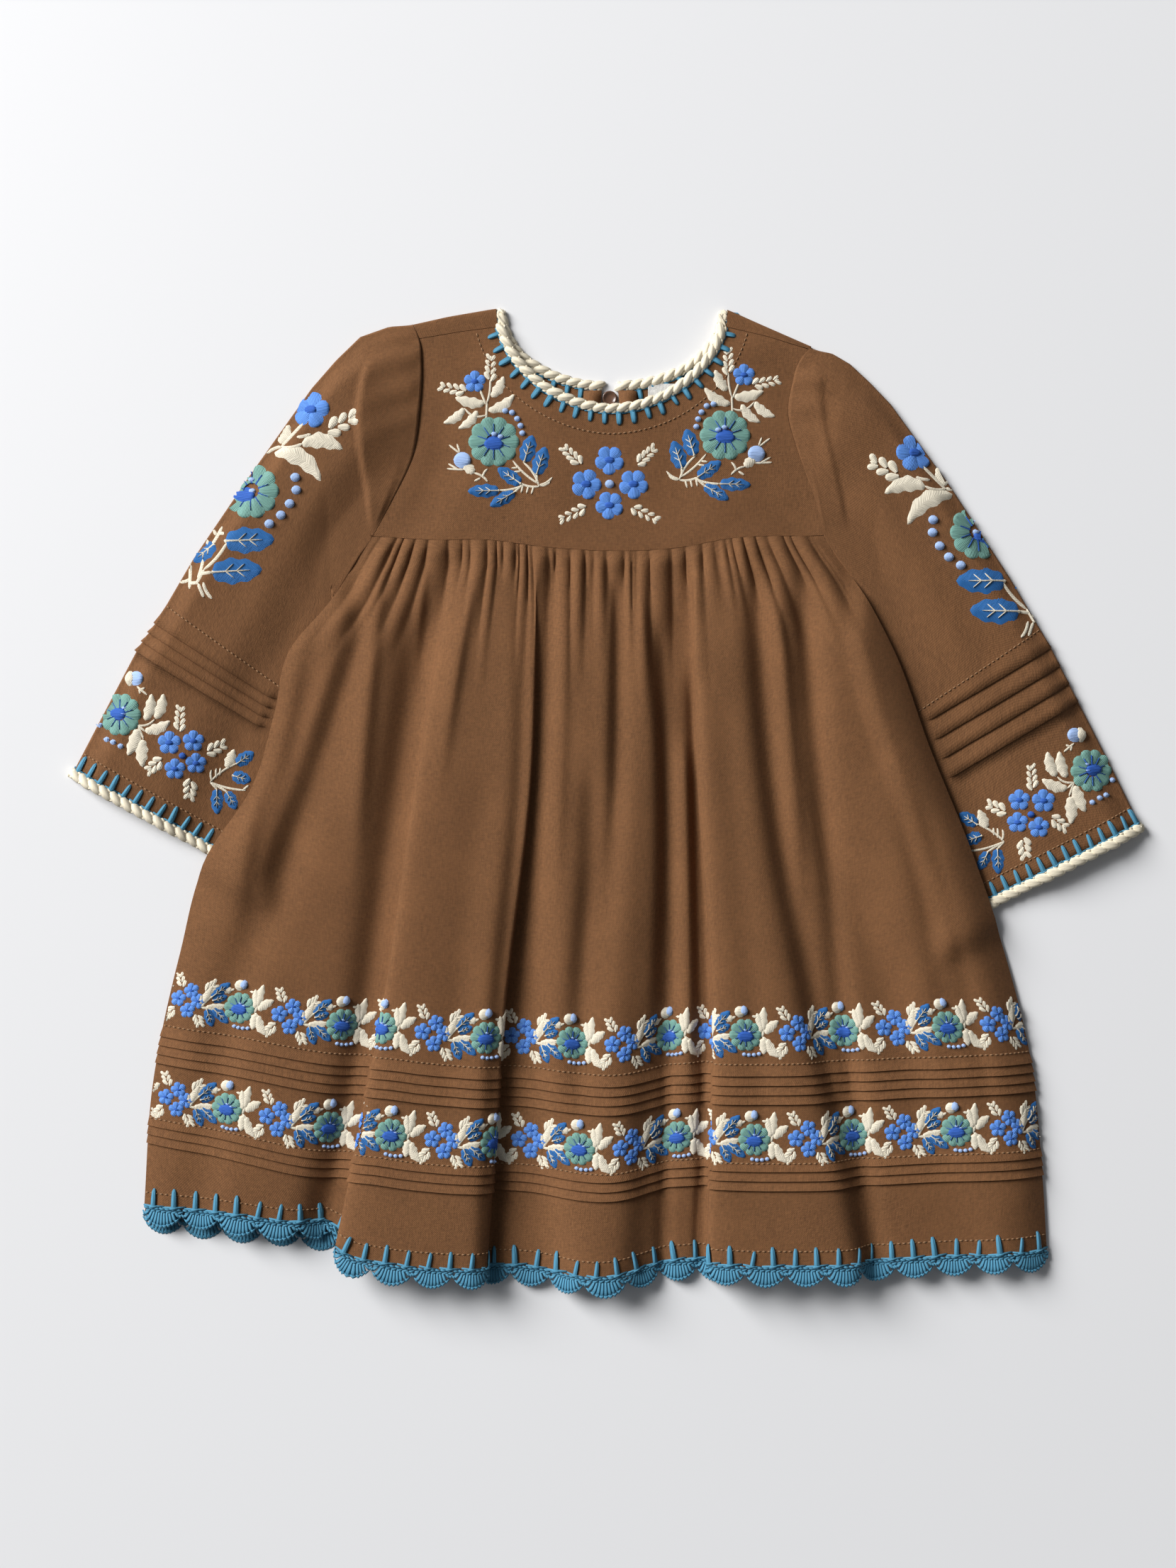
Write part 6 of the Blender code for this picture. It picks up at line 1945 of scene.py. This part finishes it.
def resin_material(name, colour):
    """Make a glossy dark resin with cloudy tone, for the button."""
    material = bpy.data.materials.new(name)
    material.use_nodes = True
    tree = material.node_tree
    shader = tree.nodes["Principled BSDF"]
    place = add_node(tree, "ShaderNodeTexCoord", (-900, 0))
    cloud = add_node(tree, "ShaderNodeTexNoise", (-700, 0))
    cloud.inputs["Scale"].default_value = 420.0
    cloud.inputs["Detail"].default_value = 3.0
    tone = add_node(tree, "ShaderNodeMix", (-400, 0), data_type="RGBA")
    tone.inputs["A"].default_value = shade(colour, 0.5)
    tone.inputs["B"].default_value = shade(colour, 1.8)
    tree.links.new(place.outputs["Object"], cloud.inputs["Vector"])
    tree.links.new(cloud.outputs["Fac"], tone.inputs["Factor"])
    tree.links.new(tone.outputs["Result"], shader.inputs["Base Color"])
    shader.inputs["Roughness"].default_value = 0.28
    shader.inputs["Coat Weight"].default_value = 0.3
    return material


def finishes(settings):
    """Give the dress's materials, made once."""
    made = {}
    makers = {"brown_linen": lambda: cloth_material("brown_linen", settings.cloth),
              "cream_thread": lambda: thread_material("cream_thread", settings.cream),
              "blue_thread": lambda: thread_material("blue_thread", settings.edging),
              "label_weave": lambda: cloth_material("label_weave", (0.80, 0.79, 0.76)),
              "brown_thread": lambda: thread_material("brown_thread", (0.40, 0.23, 0.12)),
              "thread_flower": lambda: thread_material("thread_flower", (0.115, 0.285, 0.74)),
              "thread_sky": lambda: thread_material("thread_sky", (0.20, 0.38, 0.78)),
              "thread_deep": lambda: thread_material("thread_deep", (0.035, 0.125, 0.50)),
              "thread_leaf": lambda: thread_material("thread_leaf", (0.028, 0.15, 0.42)),
              "thread_teal": lambda: thread_material("thread_teal", (0.19, 0.38, 0.325)),
              "thread_pale": lambda: thread_material("thread_pale", (0.36, 0.50, 0.80), dark=0.8),
              "thread_cream": lambda: thread_material("thread_cream", (0.86, 0.78, 0.62)),
              "button_resin": lambda: resin_material("button_resin", (0.10, 0.05, 0.03))}
    for name, make in makers.items():
        made[name] = bpy.data.materials.get(name) or make()
    return made


class DressPiece:
    """What the operators share."""

    bl_options = {"REGISTER", "UNDO"}

    def paint(self, context):
        return finishes(context.scene.dress_colours)


class DRESS_OT_skirt(DressPiece, bpy.types.Operator):
    """Make the front and back of the skirt"""

    bl_idname = "dress.skirt"
    bl_label = "Skirt"

    def execute(self, context):
        paint = self.paint(context)
        make_front_skirt(paint["brown_linen"])
        make_back_skirt(paint["brown_linen"])
        return {"FINISHED"}


class DRESS_OT_yoke(DressPiece, bpy.types.Operator):
    """Make the front yoke and both halves of the back yoke"""

    bl_idname = "dress.yoke"
    bl_label = "Yoke"

    def execute(self, context):
        paint = self.paint(context)
        make_front_yoke(paint["brown_linen"])
        for side in (-1, 1):
            make_back_yoke(side, paint["brown_linen"])
        return {"FINISHED"}


class DRESS_OT_sleeves(DressPiece, bpy.types.Operator):
    """Make both sleeves"""

    bl_idname = "dress.sleeves"
    bl_label = "Sleeves"

    def execute(self, context):
        paint = self.paint(context)
        for name in ("left", "right"):
            make_sleeve(name, paint["brown_linen"])
        return {"FINISHED"}


class DRESS_OT_crochet(DressPiece, bpy.types.Operator):
    """Make the crochet braids and edgings"""

    bl_idname = "dress.crochet"
    bl_label = "Crochet"

    def execute(self, context):
        paint = self.paint(context)
        make_neck_braids(paint["cream_thread"])
        make_cuff_braids(paint["cream_thread"], paint["blue_thread"])
        make_neck_stitches(paint["blue_thread"])
        make_hem_edging(paint["blue_thread"])
        return {"FINISHED"}


class DRESS_OT_stitching(DressPiece, bpy.types.Operator):
    """Sew the machine stitches"""

    bl_idname = "dress.stitching"
    bl_label = "Machine stitches"

    def execute(self, context):
        make_stitching(self.paint(context)["brown_thread"])
        return {"FINISHED"}


class DRESS_OT_closure(DressPiece, bpy.types.Operator):
    """Make the facings of the back opening, the label and the button"""

    bl_idname = "dress.closure"
    bl_label = "Closure and label"

    def execute(self, context):
        paint = self.paint(context)
        make_label(paint["brown_linen"], paint["label_weave"])
        make_button(paint["button_resin"])
        return {"FINISHED"}


class DRESS_OT_embroidery(DressPiece, bpy.types.Operator):
    """Make the embroidery of the yoke, the sleeves and the skirt"""

    bl_idname = "dress.embroidery"
    bl_label = "Embroidery"

    def execute(self, context):
        paint = self.paint(context)
        make_yoke_embroidery(paint)
        make_sleeve_embroidery(paint)
        for name in ("front_skirt", "back_skirt"):
            make_skirt_bands(name, paint)
        return {"FINISHED"}


class DRESS_OT_stage(bpy.types.Operator):
    """Make the floor, the light and the camera"""

    bl_idname = "dress.stage"
    bl_label = "Stage"

    def execute(self, context):
        make_stage(context.scene.dress_stage)
        return {"FINISHED"}


OPERATORS = (DRESS_OT_skirt, DRESS_OT_yoke, DRESS_OT_sleeves, DRESS_OT_crochet, DRESS_OT_stitching,
             DRESS_OT_closure, DRESS_OT_embroidery, DRESS_OT_stage)


class DRESS_PT_panel(bpy.types.Panel):
    """Panel with the dress's colours, light and pieces."""

    bl_idname = "DRESS_PT_panel"
    bl_label = "Dress"
    bl_space_type = "VIEW_3D"
    bl_region_type = "UI"
    bl_category = "Dress"

    def draw(self, context):
        layout = self.layout
        for group in (context.scene.dress_colours, context.scene.dress_stage):
            box = layout.box()
            for name in group.bl_rna.properties.keys():
                if name not in ("rna_type", "name"):
                    box.prop(group, name)
        for operator in OPERATORS:
            layout.operator(operator.bl_idname)


CLASSES = (DressColours, DressStage, *OPERATORS, DRESS_PT_panel)


def register():
    for item in CLASSES:
        bpy.utils.register_class(item)
    bpy.types.Scene.dress_colours = PointerProperty(type=DressColours)
    bpy.types.Scene.dress_stage = PointerProperty(type=DressStage)


def unregister():
    del bpy.types.Scene.dress_colours
    del bpy.types.Scene.dress_stage
    for item in reversed(CLASSES):
        bpy.utils.unregister_class(item)


def main():
    register()
    for operator in OPERATORS:
        family, name = operator.bl_idname.split(".")
        getattr(getattr(bpy.ops, family), name)()


if __name__ == "__main__":
    main()
